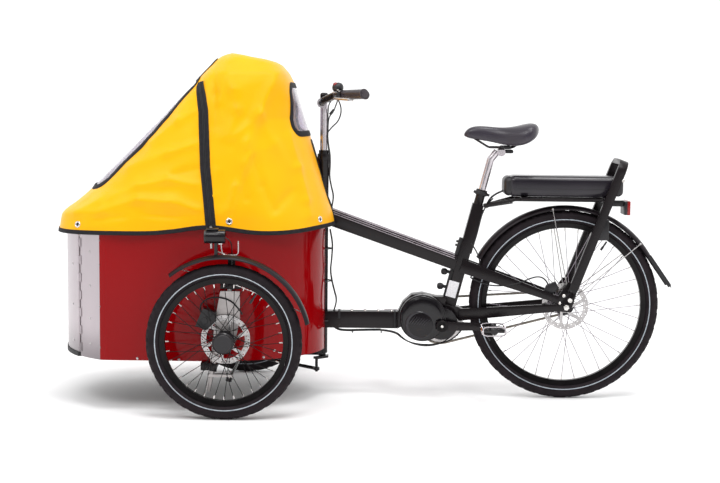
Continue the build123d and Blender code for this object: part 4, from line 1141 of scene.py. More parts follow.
# ------------------------------------------------------------------ frame, guards and lamps
ROUNDED = (  # node, body, finish and edge radius in shares of the panel's own edge value
    ("top_tube", "frame", "coat", 2.6), ("main_beam", "frame", "coat", 1.8),
    ("seat_tube", "frame", "coat", 1.2), ("rear_stays", "frame", "coat", 1.0),
    ("motor_cradle", "frame", "coat", 1.2), ("motor", "frame", "shell", 2.2),
    ("chassis", "frame", "coat", 0.8), ("rear_lamp", "frame", "plastic", 1.0),
    ("ring_lock", "frame", "plastic", 1.4), ("brake_caliper_rear", "frame", "plastic", 1.0),
    ("head_tube", "frame", "coat", 0.8), ("headlamp_left", "knuckle_left", "shell", 1.4),
    ("headlamp_right", "knuckle_right", "shell", 1.4), ("door_latch", "door", "silver", 0.9),
    ("rack", "frame", "coat", 1.2))
HOOP_BEND = 0.745         # height where the rack's legs turn into its hoop
HOOP_LIFT = Vector((0.006, 0.0, 0.016))     # along the legs


class TRICYCLE_OT_frame_tubes(bpy.types.Operator):
    """Frame tubes, motor and housings with their edges rounded, and the top tube's ribs in a grey
    painted highlight
    """
    bl_idname = "tricycle.frame_tubes"
    bl_label = "Frame tubes"

    def execute(self, context):
        edge = context.scene.tricycle_sizes.edge / MM
        for node, body, name, share in ROUNDED:
            made = rounded_node(node, edge * share)
            if node == "rack":
                for corner in made.data.vertices:
                    if corner.co.z > HOOP_BEND:
                        corner.co += HOOP_LIFT
            finish(f"{node}_rounded", body, [dress(made, name)], (node,), 30)
        # grey ribs along the top tube: their grey is a painted highlight of its ridges
        ribs = [rod((330, side * 20.2, 650 - drop), (752, side * 20.2, 498 - drop), 1.6, 12)
                for side in BOTH for drop in (1, 8, 15)]
        finish("top_tube_ribs", "frame", [clad("rail", *ribs)])
        return {"FINISHED"}


class TRICYCLE_OT_guards(bpy.types.Operator):
    """Arched wheel guards with rolled edges, brackets, stays and mud flap"""
    bl_idname = "tricycle.guards"
    bl_label = "Wheel guards"

    def arch(self, centre, radius, drop, start, end, steps):
        """Guard with an arched cross-section, turned about a wheel's axle."""
        half, thick = 0.0285, 0.0018
        outer, inner = [], []
        for k in range(13):
            share = -1 + 2 * k / 12
            low = drop * (1 - sqrt(max(0.0, 1 - (0.94 * share) ** 2))) / 0.66
            outer.append((radius + thick / 2 - low, half * share))
            inner.append((radius - thick / 2 - low, (half - thick * 0.6) * share))
        places = [centre + polar(start, out) + Y * across for out, across in outer + inner[::-1]]
        made = swept(places, centre, Y, steps, end - start, 0.01, True)
        return dress(soften(made, 0.6, 1, 50), "guard")

    def stays(self, roots_and_ends, radius, sides, head):
        """Wire stays, each with the screw that holds its end."""
        wires, screws = [], []
        for root, end, way in roots_and_ends:
            wires.append(rod(root, end, radius, sides))
            screws.append(bolt(end, way, head, 3))
        return clad("steel", *wires, *screws)

    def execute(self, context):
        for side, sign in SIDES:
            centre = FRONT[side]
            arch = self.arch(centre, 0.279, 0.0115, radians(13), radians(129), 70)
            stem = bar((17, 330 * sign, 442), (17, 330 * sign, 520), 8, 24, 2)
            cap = block((5, 326 * sign, 521), (29, 402 * sign, 527), 1.5)
            root = at(17, 336 * sign, 430)
            held = self.stays([(root, centre + polar(radians(angle), 0.2695) - Y * sign * 0.0265,
                                Y * -sign) for angle in (20, 122)], 1.6, 10, 3.6)
            finish(f"front_guard_{side}", f"knuckle_{side}", [arch, clad("coat", stem, cap), held],
                   (f"front_fender_{side}",), 40)
        arch = self.arch(REAR, 0.3425, 0.0140, radians(30), radians(152), 90)
        start = radians(31)
        flaps = [bar(REAR + polar(start, 0.3405), Vector((REAR.x + 0.366, 0, 0.392)), 52, 2.6, 1)]
        flaps += [bar(REAR + polar(start, 0.336) + Y * y, Vector((REAR.x + 0.361, y, 0.396)),
                      2, 13, 0.6) for y in (-0.0255, 0.0255)]
        held = self.stays([(REAR + Vector((14, side * 64.6, 18)) * MM,
                            REAR + polar(radians(angle), 0.334) + Y * side * 0.0275, Y * side)
                           for side in BOTH for angle in (98, 40)], 1.8, 12, 4)
        finish("rear_guard", "frame", [arch, clad("grip", *flaps), held], ("rear_fender",), 40)
        return {"FINISHED"}


class TRICYCLE_OT_lamps(bpy.types.Operator):
    """Lenses, bezels and wire brackets of the headlamps, and the rear lamp's red lens"""
    bl_idname = "tricycle.lamps"
    bl_label = "Lamps"

    def execute(self, context):
        for side, sign in SIDES:
            y = 402 * sign
            mouth = (-56, y, 587)
            bezel = spun([(22.2, 0), (22.2, -5), (19.5, -6.2), (18.5, -4), (18.5, 0)], mouth, X,
                         48)
            glass = spun([(0, -3.5), (12, -3), (18.6, -1.2), (18.6, 0.8), (0, 0.8)], mouth, X, 40)
            hood = bar((-56, y, 611), (-18, y, 611), 30, 5, 2)
            bracket = [
                hose([(x, y, z) for x, z in ((-9, 574), (-9, 556), (-7, 540), (-2, 530), (8, 528),
                                             (36, 528), (44, 532), (46, 544), (45, 574))], 1.9),
                hose([(-28, y, 566), (-30, 396 * sign, 548), (-20, 380 * sign, 534),
                      (-2, 366 * sign, 528)], 2.2),
                block((-17, 396 * sign, 562), (-5, 408 * sign, 577), 1.2),
                bolt((-40, y, 565), -Z, 4, 16)]
            cable = hose([(3, y, 584), (16, 398 * sign, 578), (22, 376 * sign, 560),
                          (20, 348 * sign, 530), (18, 339 * sign, 470), (16, 337 * sign, 420)],
                         1.8)
            finish(f"headlamp_fittings_{side}", f"knuckle_{side}",
                   [clad("plastic", bezel, hood, cable), dress(glass, "clear"),
                    clad("steel", *bracket)])
        low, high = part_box("rear_lamp")
        ruby = block(Vector((high.x - 0.007, low.y - 0.0008, low.z - 0.0008)),
                     Vector((high.x + 0.005, high.y + 0.0008, high.z + 0.0008)), 3.5, 3)
        eye = spun([(0, 0), (12.5, 0), (12.5, 1.4), (10, 2.6), (0, 2.8)],
                   Vector((high.x + 0.006, 0, (low.z + high.z) / 2)), X, 40)
        finish("rear_lamp_lens", "frame", [dress(ruby, "ruby"), dress(eye, "clear")])
        return {"FINISHED"}


# ------------------------------------------------------------------ bars, cables and drive
BAR_RUN = Vector((99, 150, 4)).normalized()     # along the near and the far grip, but for its side


def grip_line(side):
    """End of a grip and the way out along it."""
    return at(436, side * 300, 1041), Vector((BAR_RUN.x, side * BAR_RUN.y, BAR_RUN.z))


class TRICYCLE_OT_bars(bpy.types.Operator):
    """Ribbed grips, stem fittings, levers, and the bell with its red button"""
    bl_idname = "tricycle.bars"
    bl_label = "Bars"

    def execute(self, context):
        pieces = []
        for side in BOTH:
            end, way = grip_line(side)
            outline = [(11.2, 0), (14.5, 0)]
            for along in (6 + 5.2 * k for k in range(21)):
                outline.extend([(15.2, along), (15.2, along + 3.2), (14.1, along + 3.8),
                                (14.1, along + 4.8)])
            outline.extend([(16.5, 116.5), (16.5, 121.5), (11.2, 121.5)])
            pieces.append(spun(outline, end - way * 0.118, way, 40))
            pieces.append(spun([(0, 0), (11.8, 0), (11.8, 2.2), (9, 3.6), (0, 3.8)],
                               end + way * 0.0030, way, 32))
        finish("ribbed_grips", "steering", [clad("ribbed", *pieces)], ("grips",), 35)
        screws = [bolt((292 + x, y, z), (-0.7, 0, 0.5), 3.8)
                  for y in (-17, 17) for x, z in ((-9, 1000), (8, 1020))]
        screws.append(bolt((298, 0, 1004), Z, 6))
        screws.append(rod((306, -19, 1034), (306, 19, 1034), 4.2, 20))
        screws.append(rod((312, -60, 1019), (352, -150, 1028), 3.6, 16))
        collar = spun([(12.7, 0), (16.5, 0), (16.5, 12), (12.7, 12)], (298, 0, 838), Z, 48)
        knob = bolt((298, -18, 844), -Y, 3.5, 6)
        cover = block((285, -17, 1022), (312, 17, 1046), 8, 4)
        finish("stem_fittings", "steering", [clad("steel", *screws),
                                             clad("coat", collar, knob, cover)])
        self.controls()
        return {"FINISHED"}

    def controls(self):
        """Lever clamps, reservoirs, blades and the near side's bell with its red button."""
        dark, bright, screws = [], [], []
        for side in BOTH:
            end, way = grip_line(side)
            ahead = Vector((-BAR_RUN.y, side * BAR_RUN.x, 0)).normalized()

            def on_bar(back, forward=0.0, rise=0.0):
                return end + (ahead * forward - way * back + Z * rise) * MM

            for back, wide in ((128, 7), (146, 5)):
                dark.append(spun([(11.6, -wide), (14.8, -wide), (15.8, 1.5 - wide),
                                  (15.8, wide - 1.5), (14.8, wide), (11.6, wide)], on_bar(back),
                                 way, 36))
            dark.append(bar(on_bar(150, 17, 2), on_bar(112, 25, -1), 16, 17, 5))
            dark.append(rod(on_bar(120, 22, -4), on_bar(122, 36, -11), 6.2, 20))
            bright.append(rod(on_bar(152, 20, 6), on_bar(122, 27, 6), 4.5, 20))
            bright.append(hose([on_bar(124, 33, -12), on_bar(100, 40, -14), on_bar(60, 41, -16),
                                on_bar(26, 40, -18)], 4.4, 5))
            bright.append(rod(on_bar(26, 40, -18), on_bar(21, 40, -18), 5.2, 20, 3))
            screws += [bolt(on_bar(back, 18, rise), Z, 3.6)
                       for back, rise in ((128, 14), (118, 10))]
        end, way = grip_line(-1)
        pod = end - way * 0.152
        dark.append(spun([(0, 6), (13, 6), (16.5, 17), (18.5, 20), (18.8, 26), (17.8, 31),
                          (14.5, 36.5), (8, 40), (0, 41.2)], pod, (-0.10, -0.22, 1), 44))
        button = spun([(0, 0), (7.4, 0), (7.4, 3.4), (5.6, 5.6), (0, 6.6)],
                      pod + Vector((-10.5, -11, 33.5)) * MM, (-0.45, -0.5, 1), 28)
        finish("bar_controls_shaped", "steering",
               [clad("plastic", *dark), clad("steel", *bright), dress(button, "ruby"),
                clad("nickel", *screws)], ("bar_controls",), 40)


BAR_CABLES = (  # radius and guiding points
    (2.3, ((332, -118, 1034), (346, -80, 1026), (350, -34, 1017), (357, -8, 996), (356, 0, 972),
           (345, 3, 946), (326, 5, 930), (312, 6, 912))),
    (2.3, ((332, 118, 1034), (344, 70, 1024), (338, 26, 1004), (330, 8, 980), (316, 2, 966),
           (312, 0, 940), (312, 0, 900))),
    (2, ((334, -112, 1030), (322, -60, 1016), (314, -20, 1002), (312, -4, 976), (311, -4, 940),
         (311, -6, 900))))
FRAME_CABLES = (
    (2.4, ((500, -14, 230), (548, -24, 228), (574, -30, 206), (606, -32, 190), (650, -32, 184),
           (700, -30, 187), (742, -28, 200), (776, -24, 228), (796, -20, 262))),
    (2, ((500, 2, 230), (552, -12, 230), (582, -20, 200), (620, -22, 182), (668, -22, 177),
         (720, -20, 190), (752, -18, 220))),
    (2.5, ((806, -30, 420), (846, -34, 398), (900, -44, 392), (966, -56, 402), (1010, -60, 424),
           (1042, -56, 430), (1066, -54, 414), (1072, -53, 396))),
    (2.2, ((790, -12, 560), (822, -22, 520), (842, -24, 470), (824, -28, 436), (806, -30, 420))),
    (2.5, ((882, 10, 690), (862, 4, 672), (846, 6, 640), (834, 10, 600))),
    (1.8, ((1300, 0, 684), (1322, 4, 676), (1332, 0, 664))))


class TRICYCLE_OT_cables(bpy.types.Operator):
    """Brake and motor cables along the column, beam and stays, with their ties"""
    bl_idname = "tricycle.cables"
    bl_label = "Cables"

    def execute(self, context):
        loops = [hose(points, radius) for radius, points in BAR_CABLES]
        loops.append(rod((332, 3, 989), (318, 1, 972), 4.2, 14))
        finish("bar_cables", "steering", [clad("grip", *loops)])
        trunk = clad("grip", *(hose([(311, y, 902), (313, y, 870), (318 + k, y, 838),
                                     (319 + k, y, 800), (318, y, 760), (326, y, 722),
                                     (333, y * 1.5, 696), (330, y, 664), (322 + k, y, 640)], 2.5)
                               for k, y in enumerate((-7, 0, 7))))
        trunk.name = trunk.data.name = "column_cables"
        only(trunk)
        bpy.ops.object.shade_smooth_by_angle(angle=radians(40))
        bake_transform(trunk)
        lower = [hose([(322, y, 578), (330, y, 540), (331, y - 3, 512), (328, y - 2, 470),
                       (324, y, 436), (330, y - 4, 400), (338, y - 6, 368), (348, y - 4, 334),
                       (338, y - 2, 296), (322 + 3 * k, y, 262), (344, y - 3, 231), (384, y, 226),
                       (440, y, 229), (500, y, 230)], 2.6) for k, y in enumerate((-9, 0, 9))]
        lower += [hose(points, radius) for radius, points in FRAME_CABLES]
        ties = [spun([(22.5, -2), (23.8, -2), (23.8, 2), (22.5, 2)], (306, 0, z), Z, 36)
                for z in (620, 512, 400, 262)]
        ties += [bar((x, 0, 222), (x + 5, 0, 222), 36, 1.6, 0.5) for x in (400, 500)]
        finish("frame_cables", "frame", [clad("grip", *lower), clad("plastic", *ties)], smooth=40)
        return {"FINISHED"}


PITCH = 0.0127
CHAIN_Y = 47
BIG_R, SMALL_R = 0.0808, 0.0404
BIG, SMALL = (at(x, CHAIN_Y, z) for x, z in (BOTTOM, REAR_AXLE))


class ChainLine:
    """The chain's pitch line: around the chainring, along the bottom, the sprocket and the top."""

    def __init__(self):
        gap = SMALL - BIG
        lean = (BIG_R - SMALL_R) / gap.length
        straight = sqrt(1 - lean * lean)
        turn, spread = atan2(gap.z, gap.x), atan2(straight, lean)
        ends = [[centre + polar(turn + way * spread, radius)
                 for centre, radius in ((BIG, BIG_R), (SMALL, SMALL_R))] for way in (-1, 1)]
        # each part: length, its circle or its two ends
        self.parts = ((2 * (pi - spread) * BIG_R, (BIG, BIG_R, turn + spread)),
                      (straight * gap.length, ends[0]),
                      (2 * spread * SMALL_R, (SMALL, SMALL_R, turn - spread)),
                      (straight * gap.length, ends[1][::-1]))
        self.length = sum(length for length, _ in self.parts)

    def point(self, share):
        """Place and direction on the line."""
        s = share * self.length
        for length, shape in self.parts:
            if s < length:
                break
            s -= length
        if len(shape) == 2:
            return shape[0].lerp(shape[1], s / length), (shape[1] - shape[0]).normalized()
        centre, radius, start = shape
        a = start + s / radius
        return centre + polar(a, radius), Vector((-sin(a), 0, cos(a)))


class TRICYCLE_OT_drive(bpy.types.Operator):
    """Roller chain, toothed rings, pedals, crank bolts and the motor's cover"""
    bl_idname = "tricycle.drive"
    bl_label = "Drive"

    def execute(self, context):
        self.chain()
        for name, centre, radius, teeth, inner, body in (
                ("chainring_teeth", BIG, BIG_R, 40, 0.0745, "cranks"),
                ("sprocket_teeth", SMALL, SMALL_R, 20, 0.0335, "wheel_rear")):
            outline = []
            for k in range(teeth):
                for part, rise in ((0.0, -0.0032), (0.28, -0.0022), (0.42, 0.0024),
                                   (0.58, 0.0024), (0.72, -0.0022)):
                    a = FULL * (k + part) / teeth
                    outline.append(((radius + rise) * cos(a), (radius + rise) * sin(a)))
            made = cut_sheet(0.002, centre, (outline, circle(inner, 48)))
            finish(name, body, [dress(made, "steel")], smooth=30)
        crank = paint(rounded_node("crankset", 2.8, 3), ("coat", "steel"),
                      lambda place: 0.03 < place.y < 0.0735)
        finish("crankset_rounded", "cranks", [crank], ("crankset",), 30)
        x, z = BOTTOM
        ends, eyes = [], []
        for side in BOTH:
            hub, way = (x, side * 90, z), Y * side
            ends.append(spun([(0, 0), (11.5, 0), (11.5, 3), (9.5, 4.2), (7, 4.2), (6.5, 2),
                              (0, 2)], hub, way, 36))
            ends.append(spun([(0, -8), (19.5, -8), (20.5, -6), (20.5, 1.2), (19, 2.8),
                              (12.8, 2.8), (11.8, 1), (0, 1)], hub, way, 48))
            ends.append(bolt((x - side * 170, side * 90, z), way, 6, 2.4))
            eyes.append(bolt((x, side * 92.2, z), way, 5.2, 1.6))
        finish("crank_bolts", "cranks", [clad("alloy", *ends), clad("nickel", *eyes)])
        for side, sign in SIDES:
            self.pedal(side, sign)
        self.motor_cover()
        return {"FINISHED"}

    def chain(self):
        """Rollers and pairs of plates; every second pair stands outside its neighbours."""
        line = ChainLine()
        links = 2 * round(line.length / PITCH / 2)
        plates = []
        for offset in (0.0024, 0.0037):
            plate = block(Vector((-0.0093, -0.0005, -0.0036)), Vector((0.0093, 0.0005, 0.0036)))
            plate.location.y = offset
            soften(settle(plate), 3, 2, 30)
            plates.append(joined([plate, copied(plate, Matrix.Translation(Y * -2 * offset))]))
        roller = rod(Vector((0.00635, -0.0024, 0)), Vector((0.00635, 0.0024, 0)), 3.8, 10)
        parts = []
        for k in range(links):
            place, ahead = line.point((k + 0.5) / links)
            turn = Matrix((ahead, Y, ahead.cross(Y))).transposed()
            move = Matrix.Translation(place) @ turn.to_4x4()
            parts += [copied(plates[k % 2], move), copied(roller, move)]
        made = clad("chain", *parts)
        for used in (*plates, roller):
            bpy.data.objects.remove(used)
        finish("roller_chain", "frame", [made], ("chain",), 30)

    def pedal(self, side, sign):
        """Cage pedal: black barrel between two toothed silver plates."""
        x, z = BOTTOM[0] - sign * 170, BOTTOM[1]
        body = [spun([(6.5, 0), (12.5, 0), (12.5, 12), (10.5, 20), (10.5, 70), (12.5, 80),
                      (12.5, 88), (8, 91), (0, 91), (0, 88.5), (6.5, 88.5)], (x, sign * 98, z),
                     Y * sign, 32)]
        body += [block((x - 34, sign * (y - 5), z - 6), (x + 34, sign * (y + 5), z + 6), 2)
                 for y in (112, 174)]
        cage, teeth, glow = [], [], []
        for end in BOTH:
            edge = x + end * 38.5
            cage.append(block((edge - 1.5, sign * 101, z - 10), (edge + 1.5, sign * 186, z + 10),
                              1))
            for k in range(7):
                for up in BOTH:
                    foot = at(edge, sign * (107 + 12.2 * k), z + up * 9.5)
                    teeth.append(rod(foot, foot + Z * up * 0.0022, 2.2, 8, 1))
            glow.append(block((edge + end * 2.1 - 0.8, sign * 128, z - 4),
                              (edge + end * 2.1 + 0.8, sign * 160, z + 4), 0.5))
        for y in (103, 186):
            loop = [at(x + 38 * copysign(abs(c) ** 0.45, c), sign * y,
                       z + 15 * copysign(abs(s) ** 0.55, s)) for c, s in circle(1, 28)]
            cage.append(hose(loop + loop[:1], 2.1, 2))
            for foot in loop[::2]:
                out = (foot - at(x, sign * y, z)).normalized()
                teeth.append(rod(foot, foot + out * 0.0042, 1.9, 8, 1))
        finish(f"cage_pedal_{side}", f"pedal_{side}",
               [clad("plastic", *body), clad("silver", *cage, *teeth), clad("amber", *glow)],
               (f"pedal_{side}",), 30)

    def motor_cover(self):
        """Domed cover in steps, round cap with slanted ribs, and housing screws."""
        middle_x, middle_z, y = 643, 281, -60
        face = (middle_x, y, middle_z)
        # domed cover, its seam and the collar round the crank's axle
        parts = [spun(profile, place, -Y, steps) for profile, place, steps in (
            ([(0, 8.4), (45, 8.2), (60, 7.4), (68, 6), (70.5, 4.2), (73.5, 3.6), (76.5, 1.8),
              (77.5, -1), (0, -1)], face, 96),
            ([(78, 0), (79.5, 0), (79.5, 1.4), (78, 1.4)], face, 72),
            ([(20, 0), (23.5, 0), (22.5, 6), (19.5, 6)], (BOTTOM[0], y, BOTTOM[1]), 48))]
        centre = at(631, -69.4, 258)
        ribs = [spun([(47.5, -10), (47.5, -0.8), (46.2, 0.4), (44.8, 0.4), (44, -0.6), (0, -0.6),
                      (0, -4)], centre, -Y, 80)]
        for k in range(7):
            base = centre + Vector((-34 + 8.5 * k, -0.6, 4 - 0.7 * k)) * MM
            ribs.append(bar(base, base + Vector((19, 0, 27 - 1.2 * k)) * MM, 1.8, 2.6, 0.4))
        screws = [bolt((middle_x + 73 * cos(radians(a)), y, middle_z + 73 * sin(radians(a))), -Y,
                       3.8, 2.6) for a in (35, 80, 130, 190, 235)]
        finish("motor_cover", "frame", [clad("gloss", *parts), clad("case", *ribs),
                                        clad("alloy", *screws)], smooth=40)


# ------------------------------------------------------------------ small fittings
UP_SEAT = Vector((0.2521, 0, 0.9677))       # along the seat tube
OFF_SEAT = Vector((-0.9677, 0, 0.2521))     # out of its front


def on_seat_tube(z):
    """Place along the seat tube, behind the front axle."""
    return 770 + (z - 440) * 0.2605


class TRICYCLE_OT_fittings(bpy.types.Operator):
    """Rivets and screws of the box, bolts of the frame, bumpers, blank label and battery trim"""
    bl_idname = "tricycle.fittings"
    bl_label = "Fittings"

    def rivets(self, node, places, radius):
        return [spun([(0, -0.5), (radius, -0.5), (radius * 0.86, radius * 0.32),
                      (radius * 0.5, radius * 0.5), (0, radius * 0.56)],
                     *on_surface(node, at(*place)), 20) for place in places]

    def battery(self):
        """Rounded case, with its seam, darker end caps and lock."""
        low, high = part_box("battery")
        front, back = low.x + 0.016, high.x - 0.014

        def part(x1, x2, side, foot, head, edge=0.0, segments=2):
            return block(Vector((x1, low.y + side, low.z + foot)),
                         Vector((x2, high.y - side, high.z - head)), edge, segments)

        case = dress(part(front, back, 0, 0, 0.001, 21, 6), "case")
        finish("battery_case", "frame", [case], ("battery",), 40)
        trim = [part(low.x, front + 0.022, 0.003, 0.003, 0.004, 19, 6),
                part(back - 0.022, high.x, 0.003, 0.003, 0.004, 19, 6)]
        for y in (low.y, high.y):
            trim.append(block(Vector((front + 0.02, y - 0.0006, low.z + 0.027)),
                              Vector((back - 0.02, y + 0.0006, low.z + 0.0285))))
        lock = spun([(0, 0), (8, 0), (8, 1.2), (5.5, 1.6), (5, 0.6), (0, 0.6)],
                    Vector((low.x + 0.36, low.y, low.z + 0.018)), -Y, 28)
        return clad("plastic", *trim), dress(lock, "steel")

    def bolts(self):
        made = [bolt((x, side * 72.5, z), Y * side, r)
                for x, z, r in ((1143, 350, 8), (1122, 366, 6), (1109, 340, 4.5)) for side in BOTH]
        for side in BOTH:
            way = Y * side
            made.append(spun([(0, 0), (10.5, 0), (10.5, 7), (9, 9), (6.2, 9), (6.2, 13),
                              (0, 13.5)], (REAR_AXLE[0], side * 80, REAR_AXLE[1]), way, 6))
            made.append(bolt((1310, side * 90.6, 760), way, 5.5))
            made.append(bolt((858, side * 9, 663), way, 6.5, 6))
        return made + [bolt((x, side * 12, 296), Z, 4.2)
                       for x in (400, 446, 492, 538) for side in BOTH]

    def clips(self):
        """Clamps, sleeves and the cable channel of the frame, with the two bumpers on it."""
        x = on_seat_tube(706)
        made = [spun([(13.5, -4), (21.5, -4), (21.5, 3), (18.5, 12), (13.5, 12)], (x, 0, 706),
                     UP_SEAT, 48),
                rod((x + 14, -10, 709), (x + 14, -26, 709), 5.5, 16),
                bar((x - 27, -28, 716), (x + 27, -28, 702), 6, 9, 2),
                block((896, -20, 846), (946, 20, 858), 4),
                block((902, -27, 860), (938, 27, 872), 4),
                block((545, -23, 240), (552, 23, 298), 1.5),
                block((352, -22, 270), (360, 22, 298), 1.5)]
        # cable channel down the front of the seat tube
        foot, top = (at(on_seat_tube(z), 0, z) + OFF_SEAT * 0.0245 for z in (342, 548))
        made.append(bar(foot, top, 26, 13, 3.5))
        # sleeve on the rack's front bar, and the hoses beside it
        made.append(rod((866, 0, 667), (948, 0, 681), 7.5, 24))
        made.append(hose([(858, -10, 668), (868, -10, 690), (888, -9, 706), (908, -8, 715),
                          (924, -7, 722)], 3.2))
        made.append(hose([(846, -13, 652), (836, -15, 610), (824, -16, 560), (812, -16, 520),
                          (806, -15, 500)], 3))
        for z in (426, 375):
            start = at(on_seat_tube(z), 0, z) + OFF_SEAT * 0.0345
            made.append(rod(start - OFF_SEAT * 0.004, start + OFF_SEAT * 0.010, 5.5, 20))
            made.append(spun([(0, 0), (6, 0.8), (10.4, 4.5), (11.7, 11.5), (10.4, 18.5), (6, 22.2),
                              (0, 23)], start + OFF_SEAT * 0.004, (-1, 0, 0.05), 32))
        return made + [bolt(at(on_seat_tube(z), 0, z) + OFF_SEAT * 0.031, OFF_SEAT, 4, 7)
                       for z in (533, 520)]

    def execute(self, context):
        strips = [(x, side * y, z) for side in BOTH
                  for x, y, heights in ((-428, 330, (560, 479, 343, 209)),
                                        (-480, 300, (520, 408, 300, 218))) for z in heights]
        walls = [(x, side * 400, z) for side in BOTH for x, z in (
            (-294, 175), (-158, 173), (30, 172), (180, 176), (238, 196), (-330, 600), (-150, 600),
            (40, 600), (200, 600))]
        fixed = self.rivets("corner_strips", strips, 4.2) + self.rivets("box_shell", walls, 4.5)
        finish("box_rivets", "frame", [clad("steel", *fixed)])
        door = [(-560, y, z) for z in (470, 335, 213) for y in (-200, 200)]
        finish("door_rivets", "door", [clad("steel", *self.rivets("front_door", door, 4.2))])
        pieces = [clad("nickel", *self.bolts()), clad("grip", *self.clips())]
        centre = at(on_seat_tube(377) - 8, -19.4, 377)
        label = bar(centre - UP_SEAT * 0.028, centre + UP_SEAT * 0.028, 0.6, 35)
        finish("frame_fittings", "frame", [*pieces, dress(label, "label"), *self.battery()])
        return {"FINISHED"}


# ------------------------------------------------------------------ finishes on CAD nodes
PLAIN = {
    "sheet": ("box_rim", "corner_strips", "front_door", "hinge_leaf_box", "hinge_leaf_door"),
    "red": ("box_shell",), "board": ("box_floor",), "grip": ("door_lip",),
    "coat": ("hood_bows", "drag_link", "tie_rod"), "alloy": ("handlebar",)}


class TRICYCLE_OT_node_finishes(bpy.types.Operator):
    """Finishes on the carried-over nodes, by place where a node has more than one"""
    bl_idname = "tricycle.node_finishes"
    bl_label = "Node finishes"

    def execute(self, context):
        for name, nodes in PLAIN.items():
            for node in nodes:
                dress(NODES[node], name)
        axle = at(0, 0, 0)

        def knuckle(place):
            """Caliper's side plastic, inner arms coated, the rest bare casting."""
            if place.x - axle.x < -0.027 and 0.276 < place.z < 0.356:
                return 1
            return 2 if abs(place.y) < 0.3345 else 0

        for side, _ in SIDES:
            paint(NODES[f"knuckle_{side}"], ("satin", "plastic", "coat"), knuckle)
        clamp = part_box("seat_post")[1].z - 0.045
        paint(NODES["seat_post"], ("silver", "coat"),
              lambda place: abs(place.y) > 0.0145 and place.z > clamp)
        paint(NODES["steering_column"], ("silver", "coat"), lambda place: place.z < 0.7)
        return {"FINISHED"}


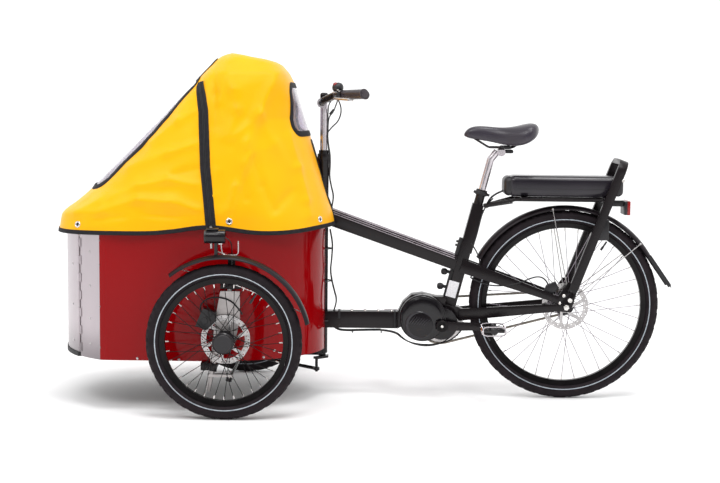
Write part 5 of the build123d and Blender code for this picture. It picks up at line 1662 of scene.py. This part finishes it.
# ------------------------------------------------------------------ stage
class TRICYCLE_OT_stage(bpy.types.Operator):
    """Pale floor, soft studio lights and the camera"""
    bl_idname = "tricycle.stage"
    bl_label = "Stage"

    def execute(self, context):
        bpy.ops.mesh.primitive_plane_add(size=1, location=(0, 0, 0))
        floor = bpy.context.object
        floor.scale = (600, 600, 1)
        floor.name = "floor"
        dress(settle(floor), "paper")
        self.sky(context.scene)
        self.light("sun", "SUN", (0, 0, 0), Vector((-0.12, 0.2, -1.0)), energy=1.05,
                   angle=radians(20))
        for name, place, target, size, power in (
                ("softbox", (-1.6, -3.2, 4.0), (-0.3, 0.0, 0.5), 2.4, 72),
                ("rim", (1.6, -2.4, 3.8), (0.4, 0.0, 0.4), 1.6, 30)):
            self.light(name, "AREA", place, Vector(target) - Vector(place), shape="RECTANGLE",
                       size=size, size_y=size * 0.7, energy=power)
        self.camera(context.scene)
        context.scene.view_settings.view_transform = "Standard"
        return {"FINISHED"}

    def light(self, name, kind, place, way, **settings):
        lamp = bpy.data.lights.new(name, kind)
        for key, value in settings.items():
            setattr(lamp, key, value)
        holder = link(name, lamp)
        holder.location = place
        holder.rotation_euler = way.to_track_quat("-Z", "Y").to_euler()

    def sky(self, scene):
        """Pale studio that grows dark toward its front, where the gloss mirrors it."""
        scene.world = bpy.data.worlds.new("studio")
        scene.world.use_nodes = True
        tree = scene.world.node_tree
        tree.nodes.clear()
        way = add_node(tree, "TexCoord").outputs["Generated"]
        x, y, z = add_node(tree, "SeparateXYZ", {0: way}).outputs
        across = add_node(tree, "Math", {0: x}, operation="ABSOLUTE").outputs[0]
        power = greater(tree, ramp(tree, y, -0.5, 0.4, 0.14, 1.2, "SMOOTHSTEP"),
                        ramp(tree, z, 0.25, 0.95, 0.0, 1.0, "SMOOTHSTEP"))
        power = greater(tree, power, ramp(tree, across, 0.45, 0.85, 0.0, 1.1, "SMOOTHSTEP"))
        # the studio's wall is plain and pale wherever it shows behind the floor
        seen = add_node(tree, "LightPath").outputs["Is Camera Ray"]
        sky = add_node(tree, "Background", {"Color": (1.0, 1.0, 1.0, 1.0),
                                            "Strength": greater(tree, power, seen)})
        add_node(tree, "OutputWorld", {"Surface": sky.outputs[0]})

    def camera(self, scene):
        camera = bpy.data.cameras.new("camera")
        camera.sensor_width = 36.0
        camera.lens = 69.56
        camera.clip_end = 60.0
        yaw, pitch, roll = -0.011748, 0.099195, 0.009979
        ahead = Vector((sin(yaw) * cos(pitch), cos(yaw) * cos(pitch), -sin(pitch)))
        right = Vector((cos(yaw), -sin(yaw), 0.0))
        up = right.cross(ahead)
        turn = Matrix((right * cos(roll) + up * sin(roll), up * cos(roll) - right * sin(roll),
                       -ahead)).transposed()
        holder = link("camera", camera)
        holder.matrix_world = Matrix.Translation(at(481.7, -4775.3, 1011.8)) @ turn.to_4x4()
        scene.camera = holder


class TRICYCLE_PT_panel(bpy.types.Panel):
    """Lists the sizes, the colours and the steps that dress the tricycle"""
    bl_idname = "TRICYCLE_PT_panel"
    bl_label = "Cargo tricycle"
    bl_space_type = "VIEW_3D"
    bl_region_type = "UI"
    bl_category = "Tricycle"

    def draw(self, context):
        for group in (context.scene.tricycle_sizes, context.scene.tricycle_colours):
            for name in type(group).__annotations__:
                self.layout.prop(group, name)
        for step in STEPS:
            self.layout.operator(step.bl_idname)


STEPS = (TRICYCLE_OT_stage, TRICYCLE_OT_node_finishes, TRICYCLE_OT_frame_tubes,
         TRICYCLE_OT_guards, TRICYCLE_OT_lamps, TRICYCLE_OT_tyres, TRICYCLE_OT_wheels,
         TRICYCLE_OT_brakes, TRICYCLE_OT_bars, TRICYCLE_OT_cables, TRICYCLE_OT_drive,
         TRICYCLE_OT_fittings, TRICYCLE_OT_hood, TRICYCLE_OT_saddle)
CLASSES = (TricycleSizes, TricycleColours, *STEPS, TRICYCLE_PT_panel)


def register():
    for cls in CLASSES:
        bpy.utils.register_class(cls)
    bpy.types.Scene.tricycle_sizes = PointerProperty(type=TricycleSizes)
    bpy.types.Scene.tricycle_colours = PointerProperty(type=TricycleColours)


def unregister():
    del bpy.types.Scene.tricycle_colours
    del bpy.types.Scene.tricycle_sizes
    for cls in reversed(CLASSES):
        bpy.utils.unregister_class(cls)


def main():
    register()
    mix_hood_and_box(bpy.context.scene.tricycle_colours)
    mix_dark_finishes()
    mix_bright_finishes()
    bpy.ops.object.select_all(action="DESELECT")
    for step in STEPS:
        group, name = step.bl_idname.split(".")
        getattr(getattr(bpy.ops, group), name)()


if __name__ == "__main__":
    main()
